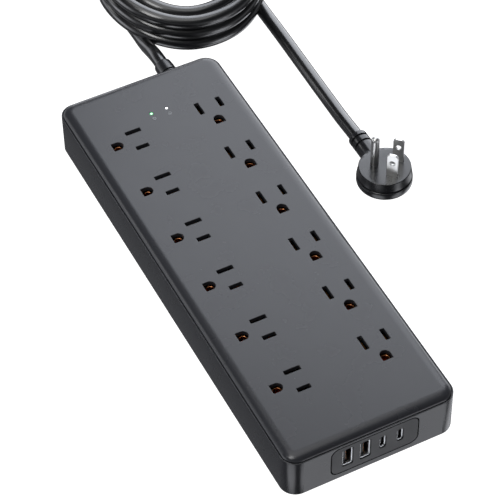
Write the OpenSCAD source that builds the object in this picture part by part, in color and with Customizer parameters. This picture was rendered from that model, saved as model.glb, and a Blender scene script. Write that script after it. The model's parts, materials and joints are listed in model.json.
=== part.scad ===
// Twelve-outlet surge protector strip with four USB ports, a cord and a low-profile plug.
// Millimetres. The origin is the middle of the underside, +Y runs to the cord end, +Z is up.

/* [Case] */
// Width of the case, across both columns of outlets
case_w = 98; // [96:1:104]
// Length of the case, from the USB end to the cord end
case_l = 280; // [278:1:290]
// Height of the case
case_h = 29; // [28:0.5:32]
// Radius of the case's upright corners
corner_r = 9; // [7:0.5:11]
// Height of the lower shell, up to the seam
seam_z = 26; // [25:0.5:26.5]
// Wall and floor thickness of both shells
wall = 2.2; // [2:0.1:2.6]
// How far the cover's outline sits inside the lower shell's
cover_inset = 0.8; // [0.6:0.1:1.2]
// Width of the rolled edge round the top face
roll_w = 5; // [3:0.5:6]

/* [Outlets] */
// Distance from one outlet to the next along a column
outlet_pitch = 38; // [37:0.5:38.5]
// Outlets in each column
outlet_count = 6; // [4:1:6]
// Blade line of the left column
left_x = -19.2; // [-20:0.1:-18]
// Blade line of the right column
right_x = 27.7; // [26:0.1:29]
// Middle of the left column along the strip
left_mid_y = 0.7; // [-1:0.1:2]
// Middle of the right column along the strip
right_mid_y = 6; // [4:0.1:7]

/* [Cord] */
// Diameter of the cord's jacket
cord_d = 8.2; // [7.6:0.2:9]
// Radius of the coil's outer turns, to the middle of the cord
coil_outer_r = 47.3; // [46:0.1:50]
// Radius of the coil's inner turns, to the middle of the cord
coil_inner_r = 39.1; // [37:0.1:40]
// Height of the coiled bundle
coil_h = 30; // [26:1:32]

/* [Plug] */
// Radius of the plug's rear flange
plug_flange_r = 15.9; // [15:0.1:17]
// Radius of the plug's face
plug_face_r = 14.9; // [14:0.1:15]
// Thickness of the plug's body
plug_t = 12; // [11:0.5:14]
// Length of the two blades in front of the face
blade_l = 16.8; // [16:0.1:18]
// Length of the ground pin in front of the face
ground_pin_l = 20.8; // [20:0.1:22]

/* [Breaker] */
// How far the reset button pops out when the breaker trips
reset_travel = 2.5; // [1.5:0.5:3]

/* [Hidden] */
$fn = 48;
EPS = 0.01;

// Blade and pin sizes that every three-pin outlet shares
BLADE_GAP = 12.7;
BLADE_T = 1.5;
BLADE_W = 6.35;
GROUND_OFFSET = 11.9;
GROUND_PIN_R = 2.38;
SLOT_T = 2.6;
NEUTRAL_SLOT = 9.2;
LINE_SLOT = 7.5;
GROUND_HOLE_R = 2.9;
GROUND_HOLE_FLAT = 3.3;

left_ys = [for (i = [0 : outlet_count - 1]) left_mid_y + outlet_pitch * ((outlet_count - 1) / 2 - i)];
right_ys = [for (i = [0 : outlet_count - 1]) right_mid_y + outlet_pitch * ((outlet_count - 1) / 2 - i)];

// Case
plate_t = 2.5;
plate_z = case_h - plate_t;
skirt_t = 1.4;
skirt_z = seam_z - 3.4;
skirt_gap = 0.15;
base_edge = 0.8;
lip_edge = 0.4;
roll_steps = 6;
screw_x = case_w / 2 - 7;
screw_y = case_l / 2 - 10;
screw_places = [for (x = [-screw_x, screw_x], y = [-screw_y, 0, screw_y]) [x, y]];
boss_r = 4.5;
boss_z = 12;
post_r = 3.2;
screw_r = 1.45;
screw_bore_r = 1.52;
screw_head_r = 2.9;
screw_head_z = 0.8;
screw_seat_z = 3;
screw_l = 15;
board_post_r = 2.5;
label_w = 44;
label_l = 60;
label_recess = 0.3;
label_t = 0.15;
label_gap = 0.2;

// Wall hanging slots
keyhole_y = 100;
keyhole_r = 4.2;
keyhole_slot_w = 4.4;
keyhole_slot_l = 9;

// Contacts
leaf_t = 0.4;
leaf_gap = BLADE_T + 0.1;
leaf_l = 7;
clip_top = 24.4;
clip_base = 12;
bar_t = 0.8;
bar_h = 5;
bar_side = 6.4;
clip_ring_r = GROUND_PIN_R + 0.1;

// USB end
usb_z = 15.2;
usb_xs = [-15, -5, 5, 15];
usb_plate_x = 0.5;
usb_plate_w = 49.4;
usb_plate_h = 20;
usb_plate_z = 14.5;
usb_plate_r = 4.5;
usb_plate_t = 1.6;
usb_groove = 0.35;
usb_a = [5.7, 14, 13];
usb_c = [3.3, 9, 9];
port_wall = 0.35;
port_recess = 1.2;
port_gap = 0.35;
tongue_gap = 0.5;
usb_a_tongue_t = 1.8;
usb_a_tongue_x = -1;
usb_c_tongue_t = 0.7;
front_y = -case_l / 2;
back_y = case_l / 2;
usb_board = [70, 27, 1.6];
usb_board_z = usb_z - usb_a[2] / 2 - usb_board[2];
usb_board_y = front_y + 18.5;
usb_post_x = 30;
transformer_core = [9, 18, 12];
transformer_coil = [17, 12, 9];
transformer_x = 28.5;
capacitor_r = 4;
capacitor_h = 12;
capacitor_xs = [-32, -23];

// Surge protection
surge_board = [18, 92, 1.4];
surge_x = 3;
surge_z = wall + 2;
surge_post_y = 34;
varistor_r = 7;
varistor_t = 4.6;
varistor_ys = [-32, -20, -8];
film_box = [13, 18, 12];
film_y = 15;
fuse_r = 1.7;
fuse_l = 11;
fuse_y = 30;
part_gap = 0.1;
surge_top = surge_z + surge_board[2] + part_gap;

// Indicators
led_xs = [-4, 5.4];
led_y = 110;
led_r = 1.1;
led_gap = 0.03;
led_base_r = 1.8;
led_base_h = 3;
led_board = [20, 10, 1.3];
led_board_x = 1;
led_board_z = 18;

// Breaker in the cord end
breaker_x = -24;
breaker_z = 14;
breaker = [17, 24, 17];
breaker_well_r = 5.2;
breaker_well_l = 15;
breaker_back_y = back_y - wall - 1.4;
bushing_r = 5.6;
bushing_flange_r = 8;
bushing_flange_t = 1.2;
button_r = 3.83;
button_bore_r = 3.9;
button_recess = 0.5;
button_l = 12;
button_flange_r = 4.8;
button_flange_t = 2;
spring_r = 3;
spring_wire_r = 0.35;
spring_pitch = 1.3;
spring_turns = 4;

// Inner wiring, laid by hand along the floor of the case
wire_r = 1.3;
wire_z = wall + wire_r + 0.1;
wire_sides = 8;
LINE_IN = [[21.5, 127], [14, 122], [0, 120], [-10, 119], [-17, 118]];
LINE_OUT = [[-26, 111], [-25.8, 106], [-25.6, 98], [-25.6, 90]];
LINE_LINK = [[-25.4, -101], [-22, -105], [-12, -106.5], [10, -106.5], [26, -104], [33, -98], [34, -90]];
NEUTRAL_LEFT = [[24.5, 127], [18, 119], [8, 115.5], [-4, 114], [-11, 106], [-13, 94]];
NEUTRAL_RIGHT = [[27.5, 127], [25, 118], [22, 110], [21.3, 102]];
GROUND_LEFT = [[18, 128.5], [8, 128.5], [-10, 128.5], [-28, 127], [-35.5, 119], [-37.5, 108], [-37, 96]];
GROUND_RIGHT = [[30.5, 127], [30, 116], [28.4, 104], [27.7, 92]];

// Cord, its exit and its route: points laid by hand along the floor
gland_x = 25.5;
gland_z = 11.5;
gland_r = 5.6;
gland_end_y = back_y + 19;
gland_flange_r = 7.4;
gland_flange_t = 2.9;
gland_slits = 3;
gland_slit_pitch = 4;
slit_w = 1;
slit_depth = 0.6;
clamp_y = back_y - wall - 6.5;
clamp_z = gland_z + 3.9;
clamp_bar = [26, 5, 3];
clamp_screw_x = 10;
clamp_bore_r = 1.3;
clamp_screw_r = 1.25;
clamp_head_r = 2.4;
clamp_head_h = 1.6;
cord_r = cord_d / 2;
cord_sides = 12;
coil_x = 67;
coil_y = 219.2;
LEAD_ROUTE = [[25.5, 159, 11.5], [25.6, 165, 11.2], [26, 172, 9.4], [26.5, 179, 6.8],
              [26.8, 184, 5.2], [27, 188, 4.4]];
TAIL_ROUTE = [[102, 180, 4.1], [102, 162, 4.1], [101.8, 144, 4.1], [101.5, 126, 4.1], [101.2, 108, 4.1],
              [101, 92, 4.1], [100.7, 78, 4.5], [100.5, 68, 5.4], [100.4, 60, 6]];

// Plug, lying on its back with its pins up
plug_x = 100.4;
plug_y = 28.3;
plug_turn = 45;
neck_r = 5.6;
neck_z = 6;
neck_end_y = 60;
neck_slit_pitch = 4.5;
pattern_shift = 6;
pin_root_z = 5;
pin_root_r = 1.9;
blade_chamfer = 1.3;
blade_hole_r = 1.6;
blade_hole_z = plug_t + blade_l - 6;
plug_groove_z = 5.9;

// ---- shared shapes ----

// A rectangle of w by l with round corners, pulled in by inset
module outline(w, l, r, inset = 0) {
    cw = w / 2 - r;
    cl = l / 2 - r;
    square([w - 2 * inset, 2 * cl], center = true);
    square([2 * cw, l - 2 * inset], center = true);
    for (x = [-cw, cw], y = [-cl, cl]) translate([x, y]) circle(r - inset);
}

module case_outline(inset = 0) outline(case_w, case_l, corner_r, inset);

// A layer of the case's outline, z0 to z1
module layer(z0, z1, inset = 0) translate([0, 0, z0]) linear_extrude(z1 - z0) case_outline(inset);

function unit(v) = v / norm(v);
function heading(p, i) = unit(p[min(i + 1, len(p) - 1)] - p[max(i - 1, 0)]);
function ring(p, i, r, n) =
    let (t = heading(p, i), side = unit(cross(t, [0, 0, 1])), up = cross(side, t))
    [for (k = [0 : n - 1]) p[i] + r * (cos(360 * k / n) * side + sin(360 * k / n) * up)];

// A round tube swept along a list of points
module tube(p, r, n) {
    rings = len(p);
    polyhedron(
        points = [for (i = [0 : rings - 1]) each ring(p, i, r, n)],
        faces = concat(
            [[for (k = [0 : n - 1]) k]],
            [for (i = [0 : rings - 2], k = [0 : n - 1]) [i * n + k, (i + 1) * n + k, i * n + (k + 1) % n]],
            [for (i = [0 : rings - 2], k = [0 : n - 1])
                [i * n + (k + 1) % n, (i + 1) * n + k, (i + 1) * n + (k + 1) % n]],
            [[for (k = [n - 1 : -1 : 0]) (rings - 1) * n + k]]));
}

// The plate outline of the USB insert, standing in the XZ plane and thick along +Y
module usb_outline(t, grow = 0) {
    translate([usb_plate_x, 0, usb_plate_z]) rotate([90, 0, 0]) translate([0, 0, -t])
        linear_extrude(t) outline(usb_plate_w + 2 * grow, usb_plate_h + 2 * grow, usb_plate_r + grow);
}

// One outlet's two slots and D-shaped ground hole, cut through the plate.
// At turn 0 the ground hole is towards -Y and the slots are long along Y.
module outlet_cut(turn) rotate([0, 0, turn]) translate([0, 0, plate_z - 1]) linear_extrude(plate_t + 2) {
    translate([-BLADE_GAP / 2, 0]) square([SLOT_T, NEUTRAL_SLOT], center = true);
    translate([BLADE_GAP / 2, 0]) square([SLOT_T, LINE_SLOT], center = true);
    translate([0, -GROUND_OFFSET]) {
        circle(GROUND_HOLE_R);
        translate([-GROUND_HOLE_R, -GROUND_HOLE_FLAT]) square([2 * GROUND_HOLE_R, GROUND_HOLE_FLAT]);
    }
}

module outlet_cuts() {
    for (y = left_ys) translate([left_x, y, 0]) outlet_cut(-90);
    for (y = right_ys) translate([right_x, y, 0]) outlet_cut(0);
}

// ---- case ----

module base_shell() color("#3d3e41") difference() {
    union() {
        difference() {
            union() {
                hull() {
                    layer(0, EPS, base_edge);
                    layer(base_edge, base_edge + EPS);
                }
                layer(base_edge, seam_z - lip_edge);
                layer(seam_z - lip_edge, seam_z, lip_edge);
            }
            layer(wall, seam_z + 1, wall);
        }
        for (p = screw_places) translate([p[0], p[1], wall - EPS]) cylinder(r = boss_r, h = boss_z - wall);
        for (x = [-usb_post_x, usb_post_x]) translate([x, usb_board_y, wall - EPS])
            cylinder(r = board_post_r, h = usb_board_z - wall);
        for (y = [-surge_post_y, surge_post_y]) translate([surge_x, y, wall - EPS])
            cylinder(r = board_post_r, h = surge_z - wall - part_gap);
    }
    for (p = screw_places) translate([p[0], p[1], -1]) {
        cylinder(r = screw_bore_r, h = boss_z + 2);
        cylinder(r = screw_head_r + 0.3, h = screw_seat_z + 1);
    }
    for (y = [-keyhole_y, keyhole_y]) translate([0, y, -1]) {
        cylinder(r = keyhole_r, h = wall + 2);
        translate([-keyhole_slot_w / 2, 0, 0]) cube([keyhole_slot_w, keyhole_slot_l, wall + 2]);
    }
    translate([-label_w / 2, -label_l / 2, -1]) cube([label_w, label_l, 1 + label_recess]);
    translate([0, front_y - 1, 0]) usb_outline(wall + 2, usb_groove);
    for (hole = [[breaker_x, breaker_z, bushing_r], [gland_x, gland_z, gland_r]])
        translate([hole[0], back_y - wall - 1, hole[1]]) rotate([-90, 0, 0])
            cylinder(r = hole[2], h = wall + 2);
}

module top_cover() color("#4a4b4e") difference() {
    union() {
        hull() for (i = [0 : roll_steps]) {
            a = 90 * i / roll_steps;
            z = seam_z + (case_h - seam_z - EPS) * sin(a);
            layer(z, z + EPS, cover_inset + roll_w * (1 - cos(a)));
        }
        difference() {
            layer(skirt_z, seam_z + EPS, wall + skirt_gap);
            layer(skirt_z - 1, seam_z + 1, wall + skirt_gap + skirt_t);
        }
        for (p = screw_places) translate([p[0], p[1], boss_z + 2 * part_gap])
            cylinder(r = post_r, h = plate_z - boss_z);
    }
    intersection() {
        layer(seam_z - 1, plate_z, wall + skirt_gap + skirt_t);
        difference() {
            translate([-case_w, -case_l, seam_z - 1]) cube([2 * case_w, 2 * case_l, plate_z - seam_z + 1]);
            for (p = screw_places) translate([p[0], p[1], 0]) cylinder(r = post_r, h = case_h);
        }
    }
    outlet_cuts();
    for (p = screw_places) translate([p[0], p[1], boss_z])
        cylinder(r = screw_bore_r, h = screw_seat_z + screw_l + 2 - boss_z);
    for (x = led_xs) translate([x, led_y, plate_z - 1]) cylinder(r = led_r, h = plate_t + 2);
    translate([usb_plate_x - usb_plate_w / 2, front_y, skirt_z - 1])
        cube([usb_plate_w, 2 * wall + 2, seam_z - skirt_z + 0.6]);
}

module case_screws() color("#8f9195") for (p = screw_places) translate([p[0], p[1], 0]) {
    difference() {
        translate([0, 0, screw_head_z]) cylinder(r = screw_head_r, h = screw_seat_z - screw_head_z);
        for (a = [0, 90]) rotate([0, 0, a]) translate([-1.8, -0.4, screw_head_z - 1]) cube([3.6, 0.8, 2]);
    }
    translate([0, 0, screw_seat_z - EPS]) cylinder(r = screw_r, h = screw_l);
}

// A plain label in its recess under the case
module rating_label() color("#c9cacc")
    translate([label_gap - label_w / 2, label_gap - label_l / 2, label_recess - label_t])
        cube([label_w - 2 * label_gap, label_l - 2 * label_gap, label_t]);

// ---- USB end ----

module usb_faceplate() color("#37383b") difference() {
    translate([0, front_y, 0]) usb_outline(usb_plate_t);
    for (i = [0 : 3]) {
        port = i < 2 ? usb_a : usb_c;
        translate([usb_xs[i] - port[0] / 2 - port_gap, front_y - 1, usb_z - port[2] / 2 - port_gap])
            cube([port[0] + 2 * port_gap, usb_plate_t + 2, port[2] + 2 * port_gap]);
    }
}

// A folded metal port shell, open at the front and closed at the back
module port_shell(i, port) color("#c9ccd0")
    translate([usb_xs[i] - port[0] / 2, front_y + port_recess, usb_z - port[2] / 2]) difference() {
        cube(port);
        translate([port_wall, -1, port_wall])
            cube([port[0] - 2 * port_wall, port[1] + 1 - port_wall, port[2] - 2 * port_wall]);
    }

// The plastic tongue that carries a port's contacts, set back inside its shell
module port_tongue(i, port, thick, shift) color("#1d1d1f") {
    edge = port_wall + tongue_gap;
    start_y = front_y + port_recess + 2 * tongue_gap;
    translate([usb_xs[i] + shift - thick / 2, start_y, usb_z - port[2] / 2 + edge])
        cube([thick, port[1] - port_wall - 2.4 * tongue_gap, port[2] - 2 * edge]);
}

module usb_a_shell_1() port_shell(0, usb_a);

module usb_a_shell_2() port_shell(1, usb_a);

module usb_c_shell_1() port_shell(2, usb_c);

module usb_c_shell_2() port_shell(3, usb_c);

module usb_a_tongue_1() port_tongue(0, usb_a, usb_a_tongue_t, usb_a_tongue_x);

module usb_a_tongue_2() port_tongue(1, usb_a, usb_a_tongue_t, usb_a_tongue_x);

module usb_c_tongue_1() port_tongue(2, usb_c, usb_c_tongue_t, 0);

module usb_c_tongue_2() port_tongue(3, usb_c, usb_c_tongue_t, 0);

module usb_circuit_board() color("#1e5a38")
    translate([-usb_board[0] / 2, usb_board_y - usb_board[1] / 2, usb_board_z + part_gap])
        cube([usb_board[0], usb_board[1], usb_board[2] - 2 * part_gap]);

// A wound transformer: a core and the coil that crosses it
module usb_transformer() color("#c7a13a")
    translate([transformer_x, usb_board_y, usb_board_z + usb_board[2]]) {
    translate([-transformer_core[0] / 2, -transformer_core[1] / 2, 0]) cube(transformer_core);
    translate([-transformer_coil[0] / 2, -transformer_coil[1] / 2, 0.5]) cube(transformer_coil);
}

module usb_capacitors() color("#2b3f63") for (x = capacitor_xs)
    translate([x, usb_board_y + 6, usb_board_z + usb_board[2]]) cylinder(r = capacitor_r, h = capacitor_h);

// ---- contacts ----

// A pair of spring leaves at a blade, long along Y, standing on a foot
module blade_clip() {
    for (s = [-1, 1]) translate([s * (leaf_gap + leaf_t) / 2 - leaf_t / 2, -leaf_l / 2, clip_base])
        cube([leaf_t, leaf_l, clip_top - clip_base]);
    translate([-leaf_gap / 2 - leaf_t, -leaf_l / 2, clip_base - bar_t])
        cube([leaf_gap + 2 * leaf_t, leaf_l, bar_t + EPS]);
}

// A split sleeve that grips a ground pin
module ground_clip() difference() {
    translate([0, 0, clip_base]) cylinder(r = clip_ring_r + leaf_t, h = clip_top - clip_base);
    translate([0, 0, clip_base + bar_t]) cylinder(r = clip_ring_r, h = clip_top);
    translate([-0.5, -5, clip_base + 2]) cube([1, 10, clip_top]);
}

// A strip along Y that joins a column's contacts
module bus_bar(x, ys, z0) {
    y0 = min(ys) - 3;
    translate([x - bar_t / 2, y0, z0]) cube([bar_t, max(ys) + 3 - y0, bar_h]);
}

// side: -1 for the line contacts, +1 for the neutral contacts, with the strip beside them
module left_blade_bus(side) color("#c98a4b") {
    ys = [for (y = left_ys) y + side * BLADE_GAP / 2];
    bus_bar(left_x + side * bar_side, ys, clip_base - bar_t);
    for (y = ys) translate([left_x, y, 0]) {
        rotate([0, 0, 90]) blade_clip();
        translate([side > 0 ? 0 : -bar_side, -1.2, clip_base - bar_t]) cube([bar_side, 2.4, bar_t]);
    }
}

module right_blade_bus(side) color("#c98a4b") {
    bus_bar(right_x + side * BLADE_GAP / 2, right_ys, clip_base - bar_h);
    for (y = right_ys) translate([right_x + side * BLADE_GAP / 2, y, 0]) blade_clip();
}

module left_neutral_bus() left_blade_bus(1);

module left_line_bus() left_blade_bus(-1);

module right_neutral_bus() right_blade_bus(-1);

module right_line_bus() right_blade_bus(1);

module left_ground_bus() color("#c9a24b") {
    x = left_x - GROUND_OFFSET;
    bus_bar(x - 5, left_ys, clip_base);
    for (y = left_ys) translate([x, y, 0]) {
        rotate([0, 0, 90]) ground_clip();
        translate([-5, -1.5, clip_base]) cube([4, 3, bar_t]);
    }
}

module right_ground_bus() color("#c9a24b") {
    ys = [for (y = right_ys) y - GROUND_OFFSET];
    bus_bar(right_x, ys, clip_base - bar_h + EPS);
    for (y = ys) translate([right_x, y, 0]) ground_clip();
}

// ---- surge protection ----

module surge_circuit_board() color("#1e5a38")
    translate([surge_x - surge_board[0] / 2, -surge_board[1] / 2, surge_z]) cube(surge_board);

// Disc varistors, each standing on its edge
module varistors() color("#2a63b8") for (y = varistor_ys) translate([surge_x, y, surge_top + varistor_r])
    rotate([90, 0, 0]) cylinder(r = varistor_r, h = varistor_t, center = true);

module film_capacitor() color("#d8b23a")
    translate([surge_x - film_box[0] / 2, film_y - film_box[1] / 2, surge_top]) cube(film_box);

// Two thermal cut-outs, lying along the board
module thermal_fuse() color("#b9bcc0") for (x = [-5, 5]) translate([surge_x + x, fuse_y, surge_top + fuse_r])
    rotate([-90, 0, 0]) cylinder(r = fuse_r, h = fuse_l);

module led_circuit_board() color("#1e5a38")
    translate([led_board_x, led_y, led_board_z - led_board[2] / 2 - part_gap]) cube(led_board, center = true);

module led_lens(x) translate([x, led_y, led_board_z]) {
    cylinder(r = led_r - led_gap, h = case_h - led_board_z - part_gap);
    cylinder(r = led_base_r, h = led_base_h);
}

module led_lens_green() color("#39ff6a") led_lens(led_xs[0]);

module led_lens_white() color("#f2f5f7") led_lens(led_xs[1]);

// ---- breaker ----

module breaker_housing() color("#242527") translate([breaker_x, breaker_back_y, breaker_z]) difference() {
    translate([0, -breaker[1] / 2, 0]) cube(breaker, center = true);
    translate([0, -breaker_well_l, 0]) rotate([-90, 0, 0])
        cylinder(r = breaker_well_r, h = breaker_well_l + 1);
}

// The collar in the case's end wall that guides the button
module breaker_bushing() color("#1b1c1e") translate([breaker_x, breaker_back_y, breaker_z])
    rotate([-90, 0, 0]) difference() {
        bushing_l = back_y - breaker_back_y;
        union() {
            translate([0, 0, part_gap]) cylinder(r = bushing_flange_r, h = bushing_flange_t);
            translate([0, 0, part_gap]) cylinder(r = bushing_r - part_gap / 2, h = bushing_l - part_gap);
        }
        translate([0, 0, -1]) cylinder(r = button_bore_r, h = bushing_l + 2);
    }

// Pressed in to reset the breaker; it pops out by reset_travel when the breaker trips
module reset_button() color("#16171a") translate([breaker_x, back_y - button_recess - button_l, breaker_z])
    rotate([-90, 0, 0]) {
        cylinder(r = button_r, h = button_l);
        cylinder(r = button_flange_r, h = min(button_flange_t, button_l - reset_travel));
    }

module reset_spring() color("#b9bcc0") translate([breaker_x, back_y - 17.5, breaker_z]) rotate([-90, 0, 0])
    for (k = [0 : spring_turns - 1]) translate([0, 0, k * spring_pitch])
        rotate_extrude() translate([spring_r, 0]) circle(r = spring_wire_r, $fn = 16);

// ---- inner wiring ----

module wire(points) tube([for (p = points) [p[0], p[1], wire_z]], wire_r, wire_sides);

module line_wires() color("#1a1a1c") {
    wire(LINE_IN);
    wire(LINE_OUT);
    wire(LINE_LINK);
}

module neutral_wires() color("#e8e8e8") {
    wire(NEUTRAL_LEFT);
    wire(NEUTRAL_RIGHT);
}

module ground_wires() color("#2f8f46") {
    wire(GROUND_LEFT);
    wire(GROUND_RIGHT);
}

// The bar that clamps the cord's jacket inside the case
module cord_clamp() color("#2a2b2e") difference() {
    translate([gland_x - clamp_bar[0] / 2, clamp_y - clamp_bar[1] / 2, clamp_z]) cube(clamp_bar);
    for (s = [-1, 1]) translate([gland_x + s * clamp_screw_x, clamp_y, clamp_z - 1])
        cylinder(r = clamp_bore_r, h = clamp_bar[2] + 2);
}

module clamp_screws() color("#8f9195") {
    seat_z = clamp_z + clamp_bar[2] + EPS;
    for (s = [-1, 1]) translate([gland_x + s * clamp_screw_x, clamp_y, 0]) {
        translate([0, 0, seat_z]) cylinder(r = clamp_head_r, h = clamp_head_h);
        translate([0, 0, wall + EPS]) cylinder(r = clamp_screw_r, h = seat_z - wall);
    }
}

// ---- cord and plug ----

// A shallow slit round a strain relief of radius r, to be cut away
module ring_slit(r) difference() {
    cylinder(r = r + 1, h = slit_w);
    translate([0, 0, -1]) cylinder(r = r - slit_depth, h = slit_w + 2);
}

// A moulded sleeve that grips the cord in the case's end wall
module cord_gland() color("#232427") translate([gland_x, 0, gland_z]) rotate([-90, 0, 0]) difference() {
    union() {
        flange_y = back_y - wall - gland_flange_t - part_gap;
        translate([0, 0, flange_y]) cylinder(r = gland_flange_r, h = gland_flange_t);
        translate([0, 0, flange_y]) cylinder(r = gland_r - part_gap / 5, h = gland_end_y - flange_y);
    }
    for (k = [1 : gland_slits]) translate([0, 0, back_y + 1 + gland_slit_pitch * k]) ring_slit(gland_r);
}

module cord_lead() color("#1f2022") tube(LEAD_ROUTE, cord_r, cord_sides);

module cord_tail() color("#1f2022") tube(TAIL_ROUTE, cord_r, cord_sides);

module cord_coil() color("#1f2022") translate([coil_x, coil_y, 0]) rotate_extrude() {
    r0 = coil_inner_r - cord_r;
    r1 = coil_outer_r + cord_r;
    c = cord_r / 2;
    polygon([[r0 + c, 0], [r1 - c, 0], [r1, c], [r1, coil_h - c], [r1 - c, coil_h], [r0 + c, coil_h],
             [r0, coil_h - c], [r0, c]]);
}

// Where the pins stand on the plug's face: the ground pin lies towards +Y before the turn
module at_pins(x, y) translate([plug_x, plug_y, 0]) rotate([0, 0, plug_turn])
    translate([x, y + pattern_shift, 0]) children();

// A flat blade with a cut-cornered tip and a round hole near it
module blade(side) at_pins(side * BLADE_GAP / 2, -GROUND_OFFSET) rotate([90, 0, 90]) {
    top = plug_t + blade_l;
    w = BLADE_W / 2;
    difference() {
        translate([0, 0, -BLADE_T / 2]) linear_extrude(BLADE_T) polygon([
            [-w, pin_root_z], [w, pin_root_z], [w, top - blade_chamfer], [w - blade_chamfer, top],
            [blade_chamfer - w, top], [-w, top - blade_chamfer]]);
        translate([0, blade_hole_z, -BLADE_T]) cylinder(r = blade_hole_r, h = 2 * BLADE_T);
    }
}

module plug_neutral_blade() color("#cfd1d4") blade(-1);

module plug_line_blade() color("#cfd1d4") blade(1);

// A round pin with a domed tip, on a thinner root in the body
module plug_ground_pin() color("#cfd1d4") at_pins(0, 0) {
    dome_z = plug_t + ground_pin_l - GROUND_PIN_R;
    rotate_extrude() polygon(concat(
        [[0, pin_root_z], [pin_root_r, pin_root_z], [pin_root_r, plug_t], [GROUND_PIN_R, plug_t]],
        [for (a = [0 : 15 : 90]) [GROUND_PIN_R * cos(a), dome_z + GROUND_PIN_R * sin(a)]]));
}

// The moulded body: a round flange, a groove, a slightly tapered face and a ribbed neck for the cord
module plug_body() color("#26272a") difference() {
    union() {
        translate([plug_x, plug_y, 0]) rotate_extrude() polygon([
            [0, 0], [plug_flange_r - 2, 0], [plug_flange_r - 0.7, 0.6], [plug_flange_r, 2],
            [plug_flange_r, plug_groove_z - 0.5], [plug_flange_r - 0.8, plug_groove_z],
            [plug_flange_r - 0.8, plug_groove_z + 0.8], [plug_flange_r - 0.4, plug_groove_z + 1.2],
            [plug_face_r + 0.2, plug_t - 0.3], [plug_face_r, plug_t], [0, plug_t]]);
        translate([plug_x, plug_y, neck_z]) rotate([-90, 0, 0]) cylinder(r = neck_r, h = neck_end_y - plug_y);
    }
    for (k = [0, 1]) translate([plug_x, neck_end_y - 4 - neck_slit_pitch * k, neck_z])
        rotate([-90, 0, 0]) ring_slit(neck_r);
    for (side = [-1, 1]) at_pins(side * BLADE_GAP / 2, -GROUND_OFFSET)
        translate([-BLADE_T / 2, -BLADE_W / 2, pin_root_z]) cube([BLADE_T, BLADE_W, plug_t]);
    at_pins(0, 0) translate([0, 0, pin_root_z]) cylinder(r = pin_root_r, h = plug_t);
}

base_shell();
top_cover();
case_screws();
rating_label();
usb_faceplate();
usb_a_shell_1();
usb_a_shell_2();
usb_c_shell_1();
usb_c_shell_2();
usb_a_tongue_1();
usb_a_tongue_2();
usb_c_tongue_1();
usb_c_tongue_2();
usb_circuit_board();
usb_transformer();
usb_capacitors();
left_neutral_bus();
left_line_bus();
left_ground_bus();
right_neutral_bus();
right_line_bus();
right_ground_bus();
surge_circuit_board();
varistors();
film_capacitor();
thermal_fuse();
led_circuit_board();
led_lens_green();
led_lens_white();
breaker_housing();
breaker_bushing();
reset_button();
reset_spring();
line_wires();
neutral_wires();
ground_wires();
cord_clamp();
clamp_screws();
cord_gland();
cord_lead();
cord_coil();
cord_tail();
plug_body();
plug_neutral_blade();
plug_line_blade();
plug_ground_pin();
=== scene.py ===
# %% [markdown]
# # A surge protector strip, its coiled cord and its low-profile plug
#
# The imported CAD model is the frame: it fixes where every part is and how big it is. This script
# adds the looks. Each cell below first says what a part or a finish is on the real strip and why
# it is made the way it is, and the code cell after it makes it. Lengths are in millimetres until
# a mesh is built, because that is how a case or a plug is drawn, and Blender gets metres.

# %% Load the frame
import json

import bmesh
import bpy
import numpy as np
from mathutils import Matrix, Vector
from mathutils.geometry import delaunay_2d_cdt


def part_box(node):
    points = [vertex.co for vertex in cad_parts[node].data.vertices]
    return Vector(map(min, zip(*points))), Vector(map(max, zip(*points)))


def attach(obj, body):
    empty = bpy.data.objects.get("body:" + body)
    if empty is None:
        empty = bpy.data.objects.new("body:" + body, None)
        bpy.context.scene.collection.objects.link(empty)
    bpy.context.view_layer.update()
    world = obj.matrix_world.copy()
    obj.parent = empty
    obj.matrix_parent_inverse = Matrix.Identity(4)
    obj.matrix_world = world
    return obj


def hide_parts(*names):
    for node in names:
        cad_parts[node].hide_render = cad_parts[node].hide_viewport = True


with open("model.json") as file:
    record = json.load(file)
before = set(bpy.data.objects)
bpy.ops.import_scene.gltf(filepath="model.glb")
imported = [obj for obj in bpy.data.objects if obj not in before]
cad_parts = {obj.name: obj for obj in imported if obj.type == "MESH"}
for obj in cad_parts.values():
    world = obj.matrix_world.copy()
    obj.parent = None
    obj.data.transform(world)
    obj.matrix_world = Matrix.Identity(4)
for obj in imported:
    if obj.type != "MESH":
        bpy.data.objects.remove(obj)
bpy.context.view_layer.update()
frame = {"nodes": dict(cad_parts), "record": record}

MM = 0.001
mounts = {m["name"]: np.array(m["pos_m"]) / MM for m in frame["record"]["mounts"]}
print("frame:", len(frame["nodes"]), "nodes,", len(mounts), "mounts")


def box_mm(node):
    """Lowest and highest corner of a CAD node, in millimetres."""
    return tuple(np.array(corner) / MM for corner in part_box(node))


# %% [markdown]
# ## The camera
#
# The strip is seen from a little over a metre away through a long lens, so that its far end is
# hardly smaller than its near end. The camera is placed by three angles and a
# distance from the point that it looks at: it stands in front of the USB end, a little to the
# left and well above, and is rolled by less than a degree.

# %% Camera
CAMERA_AIM = np.array([-1.26, -5.89, 29.0])
CAMERA_DISTANCE = 1235.3
CAMERA_TURN, CAMERA_HEIGHT, CAMERA_ROLL = np.radians([-26.444, 48.725, -0.814])


def camera_axes(turn, height, roll):
    """Right, up and back directions of a camera. Back points from the aim to the camera:
    (sin t cos h, -cos t cos h, sin h). Right is level before the roll turns it about back."""
    back = np.array([np.sin(turn) * np.cos(height), -np.cos(turn) * np.cos(height), np.sin(height)])
    level = np.array([np.cos(turn), np.sin(turn), 0])
    upright = np.cross(back, level)
    right = np.cos(roll) * level + np.sin(roll) * upright
    return right, np.cross(back, right), back


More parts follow.
